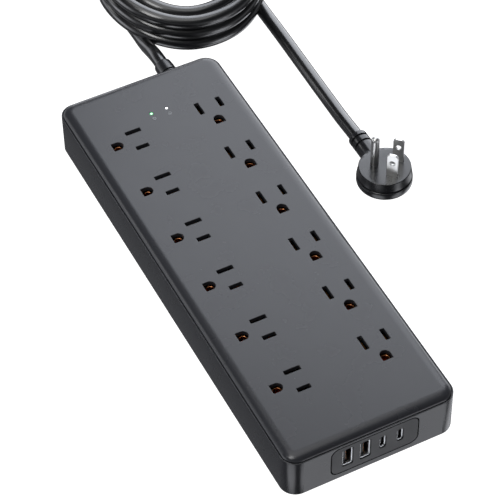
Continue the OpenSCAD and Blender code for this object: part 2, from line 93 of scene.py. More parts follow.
camera_data = bpy.data.cameras.new("camera")
camera_data.lens = 167.75
camera_data.sensor_width = 36
camera_data.clip_end = 20
camera = bpy.data.objects.new("camera", camera_data)
bpy.context.scene.collection.objects.link(camera)
axes = camera_axes(CAMERA_TURN, CAMERA_HEIGHT, CAMERA_ROLL)
stand = (CAMERA_AIM + CAMERA_DISTANCE * axes[2]) * MM
camera.matrix_world = Matrix([[*(axis[i] for axis in axes), stand[i]] for i in range(3)] + [[0, 0, 0, 1]])
bpy.context.scene.camera = camera
print("camera at", np.round(stand, 3), "m")

# %% [markdown]
# ## From numbers to a mesh
#
# Every new piece is one or more surfaces, each an array of points and an array of faces. A
# surface on a grid has a quad between each four neighbours. The piece is made of its surfaces
# glued along their shared edges: points closer than a few micrometres are merged, which also
# closes poles, and the faces are then turned to point outwards. Flat faces keep flat shading, so
# that the round edge beside them doesn't tint them.

# %% Surfaces and pieces
WELD = 0.003
SHARP_ANGLE = np.radians(35)


def grid(points, loop=True, skip=None):
    """A surface from a grid of points (rows, columns, 3): one quad for each step along a row and to
    the next row. A loop joins the last column to the first. skip marks quads to leave out."""
    rows, columns = points.shape[:2]
    index = np.arange(rows * columns).reshape(rows, columns)
    after = np.roll(index, -1, axis=1)
    if not loop:
        index, after = index[:, :-1], after[:, :-1]
    quads = np.stack([index[:-1], after[:-1], after[1:], index[1:]], axis=-1)
    if skip is not None:
        quads = quads[~skip]
    return points.reshape(-1, 3), quads.reshape(-1, 4), True


def make_piece(name, surfaces, material, body="strip", stands_for=()):
    """Glues surfaces into one mesh, in metres, that rides on a body and stands for CAD nodes."""
    starts = np.cumsum([0] + [len(points) for points, _, _ in surfaces])
    points = np.concatenate([points for points, _, _ in surfaces]) * MM
    faces = [f for start, (_, quads, _) in zip(starts, surfaces) for f in (quads + start).tolist()]
    smooth = np.concatenate([np.full(len(quads), keep) for _, quads, keep in surfaces])
    mesh = bpy.data.meshes.new(name)
    mesh.from_pydata(points.tolist(), [], faces)
    mesh.polygons.foreach_set("use_smooth", smooth)
    model = bmesh.new()
    model.from_mesh(mesh)
    bmesh.ops.remove_doubles(model, verts=model.verts, dist=WELD * MM)
    bmesh.ops.dissolve_degenerate(model, edges=model.edges, dist=WELD * MM / 10)
    bmesh.ops.recalc_face_normals(model, faces=model.faces)
    open_edges = sum(not edge.is_manifold for edge in model.edges)
    model.to_mesh(mesh)
    model.free()
    smooth = np.zeros(len(mesh.polygons), bool)
    mesh.polygons.foreach_get("use_smooth", smooth)
    mesh.set_sharp_from_angle(angle=SHARP_ANGLE)
    mesh.polygons.foreach_set("use_smooth", smooth)
    mesh.materials.append(material)
    piece = bpy.data.objects.new(name, mesh)
    bpy.context.scene.collection.objects.link(piece)
    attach(piece, body)
    if stands_for:
        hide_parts(*stands_for)
    print(f"{name}: {len(mesh.polygons)} faces, {open_edges} open edges")
    return piece


print("points within", WELD, "mm of each other become one")

# %% [markdown]
# ## Outlines
#
# The case, the USB plate, the slots and the ports are all polygons with round corners. Keeping
# the outward normal with each point makes offsets exact: an outline grown or shrunk by d is each
# point plus d times its normal, and round corners stay round.

# %% Outlines
def unit(v):
    """Vectors divided by their lengths."""
    return v / np.linalg.norm(v, axis=-1, keepdims=True)


def outward(v):
    """The normal on the right of a direction, which is outwards on an anticlockwise outline."""
    return np.stack([v[..., 1], -v[..., 0]], axis=-1)


def rounded(corners, radius, steps=8):
    """Points and outward normals round an anticlockwise polygon with round corners. The arc's
    centre is the corner less r (n0 + n1) / (1 + n0.n1), with n0 and n1 the normals of its sides."""
    corners = np.array(corners, float)
    radius = np.broadcast_to(np.array(radius, float), len(corners))[:, None]
    n0 = outward(unit(corners - np.roll(corners, 1, axis=0)))
    n1 = outward(unit(np.roll(corners, -1, axis=0) - corners))
    dot = np.sum(n0 * n1, axis=1, keepdims=True)
    centre = corners - radius * (n0 + n1) / (1 + dot)
    start = np.arctan2(n0[:, 1:], n0[:, :1])
    turn = np.arctan2(n0[:, :1] * n1[:, 1:] - n0[:, 1:] * n1[:, :1], dot)
    angle = start + turn * np.linspace(0, 1, steps + 1)
    normals = np.stack([np.cos(angle), np.sin(angle)], axis=-1)
    points = centre[:, None] + radius[:, None] * normals
    return points.reshape(-1, 2), normals.reshape(-1, 2)


def rectangle(width, length, centre=(0, 0)):
    """Corners of a rectangle, anticlockwise from the lowest."""
    x, y = width / 2, length / 2
    return np.array([[-x, -y], [x, -y], [x, y], [-x, y]]) + centre


def circle(radius, centre=(0, 0), steps=32):
    """Points and outward normals of a circle."""
    angle = np.arange(steps) / steps * 2 * np.pi
    normals = np.stack([np.cos(angle), np.sin(angle)], axis=-1)
    return normals * radius + centre, normals


print("a 10 x 20 rectangle with 2 mm corners has", len(rounded(rectangle(10, 20), 2)[0]), "points")

# %% [markdown]
# ## Surfaces from outlines
#
# Two kinds of surface make nearly every piece. A profile carried round an outline gives sides
# and rounded edges, and a triangulated flat face fills an outline around its holes. Booleans
# would be the other way, but they leave no say over where the edges run.

# %% Surfaces from outlines
def carry(outline, profile, skip=None):
    """A profile carried round an outline. Each profile row is (offset, height), and its points are
    the outline's points plus offset times their normals, at that height."""
    points, normals = outline
    offset, height = np.array(profile, float).T
    flat = points[None] + offset[:, None, None] * normals[None]
    lift = np.broadcast_to(height[:, None, None], (*flat.shape[:2], 1))
    return grid(np.concatenate([flat, lift], axis=-1), skip=skip)


def inside(points, loop):
    """Whether each point is inside a closed loop: a ray to the right crosses it an odd number of
    times."""
    a, b = loop[None], np.roll(loop, -1, axis=0)[None]
    x, y = points[:, None, 0], points[:, None, 1]
    spans = (a[..., 1] > y) != (b[..., 1] > y)
    rise = np.where(spans, b[..., 1] - a[..., 1], 1)
    crossing = a[..., 0] + (y - a[..., 1]) / rise * (b[..., 0] - a[..., 0])
    return np.sum(spans & (x < crossing), axis=1) % 2 == 1


def flat_face(rim, holes=(), height=0.0):
    """The flat area inside a rim and outside its holes, as triangles of a constrained Delaunay
    triangulation. Triangles whose middle is in a hole are dropped."""
    loops = [rim, *holes]
    starts = np.cumsum([0] + [len(loop) for loop in loops])
    edges = [[start + k, start + (k + 1) % len(loop)]
             for start, loop in zip(starts, loops) for k in range(len(loop))]
    corners = [Vector(p) for p in np.concatenate(loops).tolist()]
    found, _, triangles, *_ = delaunay_2d_cdt(corners, edges, [], 0, 1e-7)
    flat, triangles = np.array(found), np.array(triangles)
    middle = flat[triangles].mean(axis=1)
    keep = inside(middle, rim)
    for hole in holes:
        keep &= ~inside(middle, hole)
    points = np.column_stack([flat, np.full(len(flat), height)])
    return points, triangles[keep], False


def placed(surfaces, place):
    """The same surfaces with their points moved by a function of the whole array."""
    return [(place(points), faces, smooth) for points, faces, smooth in surfaces]


def round_edge(radius, steps=4):
    """Rows (offset, depth) of a quarter-round edge, from the face inwards to the wall below it:
    offset -r (1 - sin a), depth r (1 - cos a)."""
    angle = np.linspace(0, np.pi / 2, steps + 1)
    return np.column_stack([-radius * (1 - np.sin(angle)), radius * (1 - np.cos(angle))])


print("a plain 10 x 20 rectangle fills with", len(flat_face(rectangle(10, 20))[1]), "triangles")

# %% [markdown]
# ## The coil
#
# The cord is one length of round three-core flex, 8.2 mm thick, and most of it lies in a coil of
# six and a half turns. Simulating a rope would settle it differently each time, so the coil is
# worked out: each half turn has an angle that sweeps half a circle, a radius and a height. The
# outer turns stack up first, the last of them steps over to the inside, and the inner turns
# stack down again, each a cord's thickness from its neighbours. At both sides the near halves
# rise to pass over the lead and the run.

# %% Coil
CORD_D = 8.2
CORD_R = CORD_D / 2
COIL_CENTRE = [67, 219.2]
COIL_OUTER_R = 47.3
COIL_INNER_R = 39.1
COIL_START_R = 40.1
COIL_END_R = 34.9
HALF_TURN_STEPS = 24
HUMP = 3.0


def ease(t):
    """3t^2 - 2t^3 between 0 and 1: a step that starts and ends level."""
    t = np.clip(t, 0, 1)
    return t * t * (3 - 2 * t)


def coil_points():
    """The coil's centreline: each half turn goes from the left over the far side to the right, or
    from the right over the near side to the left."""
    u = np.arange(HALF_TURN_STEPS) / HALF_TURN_STEPS
    first, second, third, fourth = CORD_R + CORD_D * np.arange(4)
    rise = CORD_D * ease(u)
    late_rise = CORD_D * ease((u - 0.3) / 0.7)
    bow = CORD_D * ease((np.abs(180 * u - 90) - 10) / 80)
    step_in = COIL_OUTER_R - (COIL_OUTER_R - COIL_INNER_R) * ease(u)
    widen = COIL_START_R + (COIL_OUTER_R - COIL_START_R) * ease(u / 0.5)
    tuck = COIL_INNER_R - (COIL_INNER_R - COIL_END_R) * ease((u - 0.4) / 0.6)
    far, near = np.pi * (1 - u), -np.pi * u
    half_turns = [
        (far, widen, first + late_rise), (near, COIL_OUTER_R, first + bow),
        (far, COIL_OUTER_R, second + rise), (near, COIL_OUTER_R, second + bow),
        (far, COIL_OUTER_R, third + rise), (near, COIL_OUTER_R, third + bow),
        (far, step_in, fourth + HUMP * np.sin(np.pi * u)), (near, COIL_INNER_R, third + bow),
        (far, COIL_INNER_R, fourth - rise), (near, COIL_INNER_R, second + bow),
        (far, COIL_INNER_R, third - rise), (near, COIL_INNER_R, first + bow),
        (far, tuck, second - late_rise)]
    angle, radius, height = (
        np.concatenate([np.broadcast_to(half[k], u.shape) for half in half_turns]) for k in range(3))
    return np.column_stack([COIL_CENTRE[0] + radius * np.cos(angle),
                            COIL_CENTRE[1] + radius * np.sin(angle), height])


print("the coil is", len(coil_points()), "points")

# %% [markdown]
# ## The route of the cord
#
# The cord leaves its gland level, sinks to the floor, winds through the coil, and runs back along
# the strip to the plug. The free stretches are listed points. One smooth curve then goes
# through all of them and is cut at even steps, so that the rings of the cord are evenly spaced.

# %% Cord route
LEAD_ROUTE = [[25.5, 159, 11.5], [25.6, 165, 11.2], [26, 172, 9.4], [26.5, 179, 6.8],
              [26.8, 184, 5.2], [27, 188, 4.4]]
TAIL_ROUTE = [[102, 180, 4.1], [102, 162, 4.1], [101.8, 144, 4.1], [101.5, 126, 4.1],
              [101.2, 108, 4.1], [101, 92, 4.1], [100.7, 78, 4.5], [100.5, 68, 5.4], [100.4, 60, 6]]


def through(points, spacing):
    """A smooth curve through points, resampled at an even spacing. Between two points it is a cubic
    whose slopes are the averages of the neighbouring chords, weighted by the other chord's length."""
    points = np.array(points, float)
    chord = np.linalg.norm(np.diff(points, axis=0), axis=1)
    slope = np.diff(points, axis=0) / chord[:, None]
    before, after = chord[:-1, None], chord[1:, None]
    inner = (slope[:-1] * after + slope[1:] * before) / (before + after)
    tangent = np.concatenate([slope[:1], inner, slope[-1:]])
    t = np.linspace(0, 1, 16, endpoint=False)[None, :, None]
    h = chord[:, None, None]
    fine = ((2 * t**3 - 3 * t**2 + 1) * points[:-1, None]
            + (t**3 - 2 * t**2 + t) * h * tangent[:-1, None]
            + (3 * t**2 - 2 * t**3) * points[1:, None]
            + (t**3 - t**2) * h * tangent[1:, None])
    fine = np.concatenate([fine.reshape(-1, 3), points[-1:]])
    along = np.concatenate([[0], np.cumsum(np.linalg.norm(np.diff(fine, axis=0), axis=1))])
    even = np.linspace(0, along[-1], int(along[-1] / spacing) + 1)
    return np.column_stack([np.interp(even, along, fine[:, k]) for k in range(3)]), along[-1]


cord_path, cord_length = through([*LEAD_ROUTE, *coil_points(), *TAIL_ROUTE], spacing=2.5)
cord_path[:, 2] = np.maximum(cord_path[:, 2], CORD_R)
print(f"cord: {cord_length:.0f} mm along its middle, {len(cord_path)} rings")

# %% [markdown]
# ## Materials
#
# Colours are written as they look on a screen, and one function turns them to the linear values
# that a shader wants. One more function adds a node: its own settings, and for each input either
# a value or the output that feeds it. A pattern's scale comes from a real size: a noise with
# scale s has blobs about 1/s metres wide.

# %% Colour and node helpers
def linear(code):
    """Linear RGBA from an sRGB hex colour."""
    value = np.array([int(code[k:k + 2], 16) for k in (0, 2, 4)]) / 255
    value = np.where(value <= 0.04045, value / 12.92, ((value + 0.055) / 1.055) ** 2.4)
    return (*value, 1.0)


def add_node(tree, kind, inputs, **settings):
    """Adds one node. An input is a value, or the output socket that feeds it."""
    node = tree.nodes.new(kind)
    for key, value in settings.items():
        setattr(node, key, value)
    for socket, value in inputs.items():
        if isinstance(value, bpy.types.NodeSocket):
            tree.links.new(value, node.inputs[socket])
        else:
            node.inputs[socket].default_value = value
    return node


print("mid grey on the screen is", round(float(linear("808080")[0]), 3), "in linear light")

# %% [markdown]
# ## A grained finish
#
# Nearly every part is moulded, drawn or plated, and differs in colour, gloss and the size of its
# grain. So one finish serves them all: a noise in relief for the grain, and a slower noise that
# varies the gloss and the shade a little, since nothing real is the same all over.

# %% Grained finish
def new_material(name):
    """An empty node material and its tree."""
    material = bpy.data.materials.new(name)
    material.use_nodes = True
    material.node_tree.nodes.clear()
    return material, material.node_tree


def per_metre(size_mm):
    """The noise scale whose blobs are about this size."""
    return 1 / (size_mm * MM)


def grained(name, colour, roughness, grain_mm, grain_depth_mm, spread=0.04, metallic=0.0, coat=0.0,
            coat_roughness=0.1, shade=0.92, patch_mm=18, specular=0.5):
    """A surface with a fine grain in relief, and slow patches where it is a little rougher and a
    little darker, as handling and the mould leave it. A real grain is about a tenth of a millimetre wide
    and would not show, so each caller gives a coarser one and a depth to match."""
    material, tree = new_material(name)
    place = add_node(tree, "ShaderNodeTexCoord", {}).outputs["Object"]
    grain = add_node(tree, "ShaderNodeTexNoise", {
        "Vector": place, "Scale": per_metre(grain_mm), "Detail": 2.0})
    patch = add_node(tree, "ShaderNodeTexNoise", {
        "Vector": place, "Scale": per_metre(patch_mm), "Detail": 3.0})
    rough = add_node(tree, "ShaderNodeMapRange", {
        "Value": patch.outputs["Fac"], "From Min": 0.3, "From Max": 0.7,
        "To Min": roughness - spread, "To Max": roughness + spread})
    darker = (*(shade * np.array(linear(colour)[:3])), 1.0)
    tint = add_node(tree, "ShaderNodeMixRGB", {
        "Fac": patch.outputs["Fac"], "Color1": linear(colour), "Color2": darker})
    relief = add_node(tree, "ShaderNodeBump", {
        "Height": grain.outputs["Fac"], "Strength": 1.0, "Distance": grain_depth_mm * MM})
    shader = add_node(tree, "ShaderNodeBsdfPrincipled", {
        "Base Color": tint.outputs["Color"], "Roughness": rough.outputs["Result"],
        "Metallic": metallic, "Normal": relief.outputs["Normal"], "Coat Weight": coat,
        "Coat Roughness": coat_roughness, "Specular IOR Level": specular})
    add_node(tree, "ShaderNodeOutputMaterial", {"Surface": shader.outputs["BSDF"]})
    return material


print("mid grey 808080 is", round(linear("808080")[0], 3), "in linear light")

# %% [markdown]
# ## The cord's jacket
#
# The jacket is extruded PVC: soft black plastic with a smooth, fairly glossy skin. Gloss is what
# makes the coil readable, since every turn then carries its own bright line. The cord is a ring
# of points carried along its route, one surface from end to end, because a real cord has no
# joints and a light that runs along it would show any.

# %% Extruded PVC and the cord
# Extruded PVC: near black, with a wet-looking bright line along every turn
extruded_pvc = grained("extruded_pvc_jacket", "111214", roughness=0.3, grain_mm=1.2,
                       grain_depth_mm=0.006, specular=0.7, coat=0.8, coat_roughness=0.14)


def tube(path, radius, sides):
    """A round tube along a path: at each point, a ring of radius r across the path's direction t,
    centre + r (cos a side + sin a up), with side = t x z and up = side x t. The ends close to a
    point."""
    direction = unit(np.gradient(path, axis=0))
    side = unit(np.cross(direction, [0, 0, 1]))
    up = np.cross(side, direction)
    angle = np.arange(sides) / sides * 2 * np.pi
    cosine, sine = np.cos(angle)[None, :, None], np.sin(angle)[None, :, None]
    rings = path[:, None] + radius * (cosine * side[:, None] + sine * up[:, None])
    ends = [np.repeat(path[k][None, None], sides, axis=1) for k in (0, -1)]
    return grid(np.concatenate([ends[0], rings, ends[1]]))


power_cord = make_piece("power_cord", [tube(cord_path, CORD_R, sides=24)], extruded_pvc,
                        stands_for=["cord_lead", "cord_coil", "cord_tail"])

# %% [markdown]
# ## The case's plastic
#
# Both shells are injection-moulded ABS. The mould is spark-eroded to a fine matt grain, so the
# case shows soft grey reflections with no sharp edge in them. The real grain is about a tenth of
# a millimetre wide. It is drawn half a millimetre wide and very shallow, because anything finer
# only turns to noise.

# %% Moulded ABS
# Injection-moulded ABS with an eroded grain: a dark satin that mirrors the room as soft greys
moulded_abs = grained("moulded_abs_case", "323337", roughness=0.27, spread=0.01, shade=0.97,
                      grain_mm=0.5, grain_depth_mm=0.0008)
print("material", moulded_abs.name)

# %% [markdown]
# ## The outlets' holes
#
# Each outlet has a long neutral slot, a shorter line slot and a D-shaped ground hole. Their sizes
# are standard. The record's mounts say where each outlet is; the left column is turned a quarter
# turn from the right one.

# %% Holes in the cover
SLOT_T = 2.6
NEUTRAL_SLOT = 9.2
LINE_SLOT = 7.5
BLADE_GAP = 12.7
GROUND_OFFSET = 11.9
GROUND_HOLE_R = 2.9
GROUND_HOLE_FLAT = 3.3
HOLE_CORNER = 0.3
LENS_R = 1.1


def turned(outline, degrees, centre):
    """An outline turned about the origin and moved to a centre."""
    a = np.radians(degrees)
    matrix = np.array([[np.cos(a), np.sin(a)], [-np.sin(a), np.cos(a)]])
    return outline[0] @ matrix + centre, outline[1] @ matrix


def outlet_holes():
    """The three holes of an outlet whose ground hole is towards -Y."""
    ground = [[-GROUND_HOLE_R, -GROUND_HOLE_FLAT], [GROUND_HOLE_R, -GROUND_HOLE_FLAT],
              [GROUND_HOLE_R, GROUND_HOLE_R], [-GROUND_HOLE_R, GROUND_HOLE_R]]
    ground = np.array(ground) - [0, GROUND_OFFSET]
    return [rounded(rectangle(SLOT_T, NEUTRAL_SLOT, (-BLADE_GAP / 2, 0)), HOLE_CORNER, steps=3),
            rounded(rectangle(SLOT_T, LINE_SLOT, (BLADE_GAP / 2, 0)), HOLE_CORNER, steps=3),
            rounded(ground, [0.5, 0.5, GROUND_HOLE_R, GROUND_HOLE_R], steps=9)]


holes = []
for name, place in mounts.items():
    if name.startswith("outlet_"):
        quarter = -90 if "left" in name else 0
        holes += [turned(hole, quarter, place[:2]) for hole in outlet_holes()]
for lens in ("led_lens_green", "led_lens_white"):
    low, high = box_mm(lens)
    holes.append(circle(LENS_R, (low[:2] + high[:2]) / 2, steps=24))
print(len(holes), "holes in the cover")

# %% [markdown]
# ## The case's sizes
#
# The outer size of the case and the height of the seam come from the CAD model, so the new
# shells can't drift from it. The rest is what a moulder would decide: the walls, the rolled edge,
# the skirt and the posts that the six screws bite into.

# %% Sizes of the case
case_low, case_high = box_mm("base_shell")
case_size = (case_high - case_low)[:2]
cover_top = box_mm("top_cover")[1][2]
SEAM_Z = case_high[2]
CORNER_R = 9
COVER_INSET = 0.85
ROLL_W = 5.8
ROLL_STEPS = 18
RIM_R = 0.25
PLATE_T = 2.5
WALL = 2.2
SKIRT_Z = 22.6
SKIRT_OUT = 2.35
SKIRT_IN = 3.75
GROOVE_DEPTH = 0.65
SCREW_BORE_R = 1.52
SCREW_IN = [7, 10]
POST_R = 3.2
POST_Z = 12.2
POST_BORE_TOP = 20
case_outline = rounded(rectangle(*case_size), CORNER_R, steps=20)
screw_x, screw_y = case_size / 2 - SCREW_IN
screw_places = [(x, y) for x in (-screw_x, screw_x) for y in (-screw_y, 0, screw_y)]
print("the case is", np.round(case_size, 1), "mm and has", len(screw_places), "screws")

# %% [markdown]
# ## The top cover
#
# The cover is a flat plate whose edge rolls down to the seam. The roll is wider than it is high,
# so it is a quarter of an ellipse, which leaves the flat more gently than an arc would. One
# profile goes from the flat over the roll, down into the seam's groove, round the skirt that
# locates the cover in the lower shell, and back up inside. Each hole has a small rounded rim, so
# that it catches the light as a moulded edge does. A Bevel modifier would give every edge the
# same round, and here the roll and the rims differ by a factor of twenty.

# %% Top cover
def shrunk(outline, inset):
    """An outline's points pulled in by an inset."""
    return outline[0] - inset * outline[1]


def roll_profile(outer, width, low, high):
    """Rows (offset, height) of a rolled edge, from the flat to the seam: a quarter ellipse whose
    offset grows as the sine of an angle while its height falls as the cosine."""
    angle = np.linspace(0, np.pi / 2, ROLL_STEPS + 1)
    across, up = np.sin(angle), np.cos(angle)
    return np.column_stack([-outer - width * (1 - across), low + (high - low) * up])


def top_cover_surfaces():
    """The edge's profile and each hole's profile carried round their outlines, then the flats
    between them above and below, and the screw posts that hang from the inside."""
    roll = roll_profile(COVER_INSET, ROLL_W, SEAM_Z, cover_top)
    under = cover_top - PLATE_T
    skirt = [[-COVER_INSET, SEAM_Z - GROOVE_DEPTH], [-SKIRT_OUT, SEAM_Z - GROOVE_DEPTH],
             [-SKIRT_OUT, SKIRT_Z], [-SKIRT_IN, SKIRT_Z], [-SKIRT_IN, under]]
    surfaces = [carry(case_outline, np.concatenate([roll, skirt]))]
    rim = round_edge(RIM_R)
    rounded_rim = np.column_stack([-rim[:, 0], cover_top - rim[:, 1]])
    hole_profile = np.concatenate([rounded_rim, [[0, under]]])
    surfaces += [carry(hole, hole_profile) for hole in holes]
    wide = [hole[0] + hole_profile[0, 0] * hole[1] for hole in holes]
    surfaces.append(flat_face(shrunk(case_outline, COVER_INSET + ROLL_W), wide, cover_top))
    post_profile = [[0, under], [0, POST_Z], [SCREW_BORE_R - POST_R, POST_Z],
                    [SCREW_BORE_R - POST_R, POST_BORE_TOP], [-POST_R, POST_BORE_TOP]]
    posts = [circle(POST_R, place) for place in screw_places]
    surfaces += [carry(post, post_profile) for post in posts]
    narrow = [hole[0] for hole in holes] + [post[0] for post in posts]
    surfaces.append(flat_face(shrunk(case_outline, SKIRT_IN), narrow, under))
    return surfaces


make_piece("top_cover_shell", top_cover_surfaces(), moulded_abs, stands_for=["top_cover"])

# %% [markdown]
# ## The lower shell
#
# The lower shell is a tray that every other part sits in. Its sizes come first. The openings in
# its two ends follow the parts that fill them, whose boxes the frame gives: the USB plate in
# front, and the button's bushing and the cord's gland at the back.

# %% Sizes of the lower shell
EDGE_R = 0.8
LIP_W = 0.42
LIP_R = 0.22
LEDGE_Z = SEAM_Z - 0.7
BOSS_R = 4.5
BOSS_Z = 12
SCREW_WELL_R = 3.2
SCREW_SEAT_Z = 3
KEYHOLE_Y = 100
KEYHOLE_R = 4.2
KEYHOLE_SLOT = (4.4, 9)
LABEL = (44, 60)
LABEL_RECESS = 0.3
USB_GROOVE = 0.5
plate_low, plate_high = box_mm("usb_faceplate")
plate_centre = ((plate_low + plate_high) / 2)[[0, 2]]
plate_size = (plate_high - plate_low)[[0, 2]]
PLATE_CORNER = 4.5
usb_plate_outline = rounded(rectangle(*plate_size, plate_centre), PLATE_CORNER, steps=12)
bushing_low, bushing_high = box_mm("breaker_bushing")
bushing_centre = ((bushing_low + bushing_high) / 2)[[0, 2]]
gland_low, gland_high = box_mm("cord_gland")
gland_centre = ((gland_low + gland_high) / 2)[[0, 2]]
BUSHING_R = 5.6
GLAND_R = 5.6
OPENING_RIM_R = 0.15
print("the USB plate is", np.round(plate_size, 1), "mm and the seam is at", SEAM_Z)

# %% [markdown]
# ## Openings in the lower shell
#
# A grid can't have round openings, so each end wall is a flat face with holes, and the sides of
# the holes are short profiles carried round them. The hanging keyholes go straight through the
# floor: a round entry with a slot that the wall screw's neck slides into.

# %% Openings
def keyhole(y):
    """A round entry with a slot towards +Y, anticlockwise from the slot's left edge."""
    half, length = KEYHOLE_SLOT[0] / 2, KEYHOLE_SLOT[1]
    opening = np.arcsin(half / KEYHOLE_R)
    angle = np.linspace(np.pi / 2 + opening, 2.5 * np.pi - opening, 28)
    entry = KEYHOLE_R * np.column_stack([np.cos(angle), np.sin(angle)])
    return np.concatenate([entry, [[half, length], [-half, length]]]) + [0, y]


def straight(loop, low, high):
    """A wall between two heights along a loop of plain points."""
    return carry((loop, np.zeros_like(loop)), [[0, low], [0, high]])


def end_wall(y_outer, y_inner, outlines):
    """A flat end wall with openings: its outer and inner faces and the openings' sides."""
    half = case_size[0] / 2 - CORNER_R

    def face(y, low, high, grow):
        """The wall's flat at y, with its openings grown by their rim."""
        loop = np.array([[-half, low], [half, low], [half, high], [-half, high]])
        return placed([flat_face(loop, [shrunk(o, -grow) for o in outlines])],
                      lambda p: np.column_stack([p[:, 0], np.full(len(p), y), p[:, 1]]))[0]

    step = np.sign(y_inner - y_outer)
    rim = round_edge(OPENING_RIM_R, steps=3)
    rounded_rim = np.column_stack([-rim[:, 0], y_outer + step * rim[:, 1]])
    profile = np.concatenate([rounded_rim, [[0, y_inner]]])
    sides = [placed([carry(o, profile)], lambda p: p[:, [0, 2, 1]])[0] for o in outlines]
    outer = face(y_outer, EDGE_R, SEAM_Z - LIP_R, OPENING_RIM_R)
    return [outer, face(y_inner, WALL, LEDGE_Z, 0), *sides]


print("a keyhole's outline has", len(keyhole(0)), "points")

# %% [markdown]
# ## The lower shell
#
# The long sides are one profile carried round the outline: rounded bottom edge, wall, a fine lip
# that frames the cover, the ledge under it and the inner wall. At the two ends that profile's
# wall is left out and the end walls take its place. Cutting the openings with booleans would
# work too, but leaves long thin triangles that spoil the shading. The floor has the keyholes,
# the screw wells and the label's recess.

# %% Lower shell
def lower_shell_surfaces():
    """The wall's profile carried round the case, the two end walls, the bosses and keyholes
    carried through the floor, and the floor's two flats between them."""
    arc = np.linspace(0, np.pi / 2, 5)
    bottom = np.column_stack([EDGE_R * (np.sin(arc) - 1), EDGE_R * (1 - np.cos(arc))])
    lip = np.column_stack([LIP_R * (np.cos(arc) - 1), SEAM_Z - LIP_R * (1 - np.sin(arc))])
    inner = [[-LIP_W, SEAM_Z], [-LIP_W, LEDGE_Z], [-WALL, LEDGE_Z], [-WALL, WALL]]
    profile = np.concatenate([bottom, lip, inner])
    columns = len(case_outline[0])
    open_wall = np.zeros((len(profile) - 1, columns), bool)
    end_columns = [columns // 4 - 1, 3 * columns // 4 - 1]
    wall_rows = [len(bottom) - 1, len(profile) - 2]
    open_wall[np.ix_(wall_rows, end_columns)] = True
    surfaces = [carry(case_outline, profile, skip=open_wall)]
    grown = [(usb_plate_outline[0] + USB_GROOVE * usb_plate_outline[1], usb_plate_outline[1])]
    front, back = case_low[1], case_high[1]
    surfaces += end_wall(front, front + WALL, grown)
    back_holes = [circle(BUSHING_R, bushing_centre), circle(GLAND_R, gland_centre)]
    surfaces += end_wall(back, back - WALL, back_holes)
    wells = [circle(BOSS_R, place) for place in screw_places]
    bore, well_wall = SCREW_BORE_R - BOSS_R, SCREW_WELL_R - BOSS_R
    boss_profile = [[0, WALL], [0, BOSS_Z], [bore, BOSS_Z], [bore, SCREW_SEAT_Z],
                    [well_wall, SCREW_SEAT_Z], [well_wall, 0]]
    surfaces += [carry(well, boss_profile) for well in wells]
    keyholes = [keyhole(y) for y in (-KEYHOLE_Y, KEYHOLE_Y)]
    surfaces += [straight(loop, 0, WALL) for loop in keyholes]
    label = rectangle(*LABEL)
    surfaces += [straight(label, 0, LABEL_RECESS), flat_face(label, height=LABEL_RECESS)]
    mouths = [shrunk(well, BOSS_R - SCREW_WELL_R) for well in wells]
    surfaces.append(flat_face(shrunk(case_outline, EDGE_R), [*mouths, *keyholes, label], 0))
    surfaces.append(flat_face(shrunk(case_outline, WALL), [*(well[0] for well in wells), *keyholes], WALL))
    return surfaces


make_piece("lower_shell", lower_shell_surfaces(), moulded_abs, stands_for=["base_shell"])

# %% [markdown]
# ## Slabs
#
# A faceplate, a blade and a printed sign are the same shape: an outline with holes and a
# thickness, with rounded edges. A slab is made lying down, its face at depth 0 and its back at
# its thickness, and a function then stands it where it goes.

# %% Slabs
def slab(outline, holes=(), thickness=1.0, edge=0.1, steps=3, both=False):
    """Face, back and rounded sides of a flat part. Rows of the sides are (offset, depth)."""
    rim = round_edge(edge, steps)
    back = rim[::-1] * [1, -1] + [0, thickness] if both else np.array([[0, thickness]])
    profile = np.concatenate([rim, back])
    flip = profile * [-1, 1]
    face_in, back_in = profile[0, 0], profile[-1, 0]
    surfaces = [carry(outline, profile)] + [carry(hole, flip) for hole in holes]
    for inset, depth in ((face_in, 0), (back_in, thickness)):
        openings = [shrunk(hole, inset) for hole in holes]
        surfaces.append(flat_face(shrunk(outline, -inset), openings, depth))
    return surfaces


def facing_front(y):
    """Stands a slab up in the front wall: its face at y, its depth towards +Y."""
    return lambda p: np.column_stack([p[:, 0], y + p[:, 2], p[:, 1]])


print("a plain slab is", len(slab(circle(5))), "surfaces: its sides, its face and its back")

# %% [markdown]
# ## The USB end
#
# The ports sit upright in a separate plate of ABS, which a narrow groove frames. The plate is a
# slab whose holes are the ports' own outlines, grown by the gap round them.

# %% USB plate
# The same ABS from a rougher mould: a flatter, darker grey than the case
moulded_abs_plate = grained("moulded_abs_faceplate", "1f2023", roughness=0.4, grain_mm=0.3,
                            grain_depth_mm=0.006)
PORTS = ("usb_a_shell_1", "usb_a_shell_2", "usb_c_shell_1", "usb_c_shell_2")
port_boxes = {name: box_mm(name) for name in PORTS}
PORT_GAP = 0.15
PORT_CORNER = {"usb_a": 0.6, "usb_c": 1.3}


def port_outline(name, grow=0.0):
    """The rounded outline of a port's sleeve, seen from the front."""
    low, high = port_boxes[name]
    size, centre = (high - low)[[0, 2]], ((low + high) / 2)[[0, 2]]
    return rounded(rectangle(*(size + 2 * grow), centre), PORT_CORNER[name[:5]] + grow, steps=6)


plate_t = plate_high[1] - plate_low[1]
port_holes = [port_outline(name, PORT_GAP) for name in PORTS]
plate_slab = slab(usb_plate_outline, port_holes, plate_t, edge=0.2)
make_piece("usb_plate", placed(plate_slab, facing_front(plate_low[1])), moulded_abs_plate,
           stands_for=["usb_faceplate"])

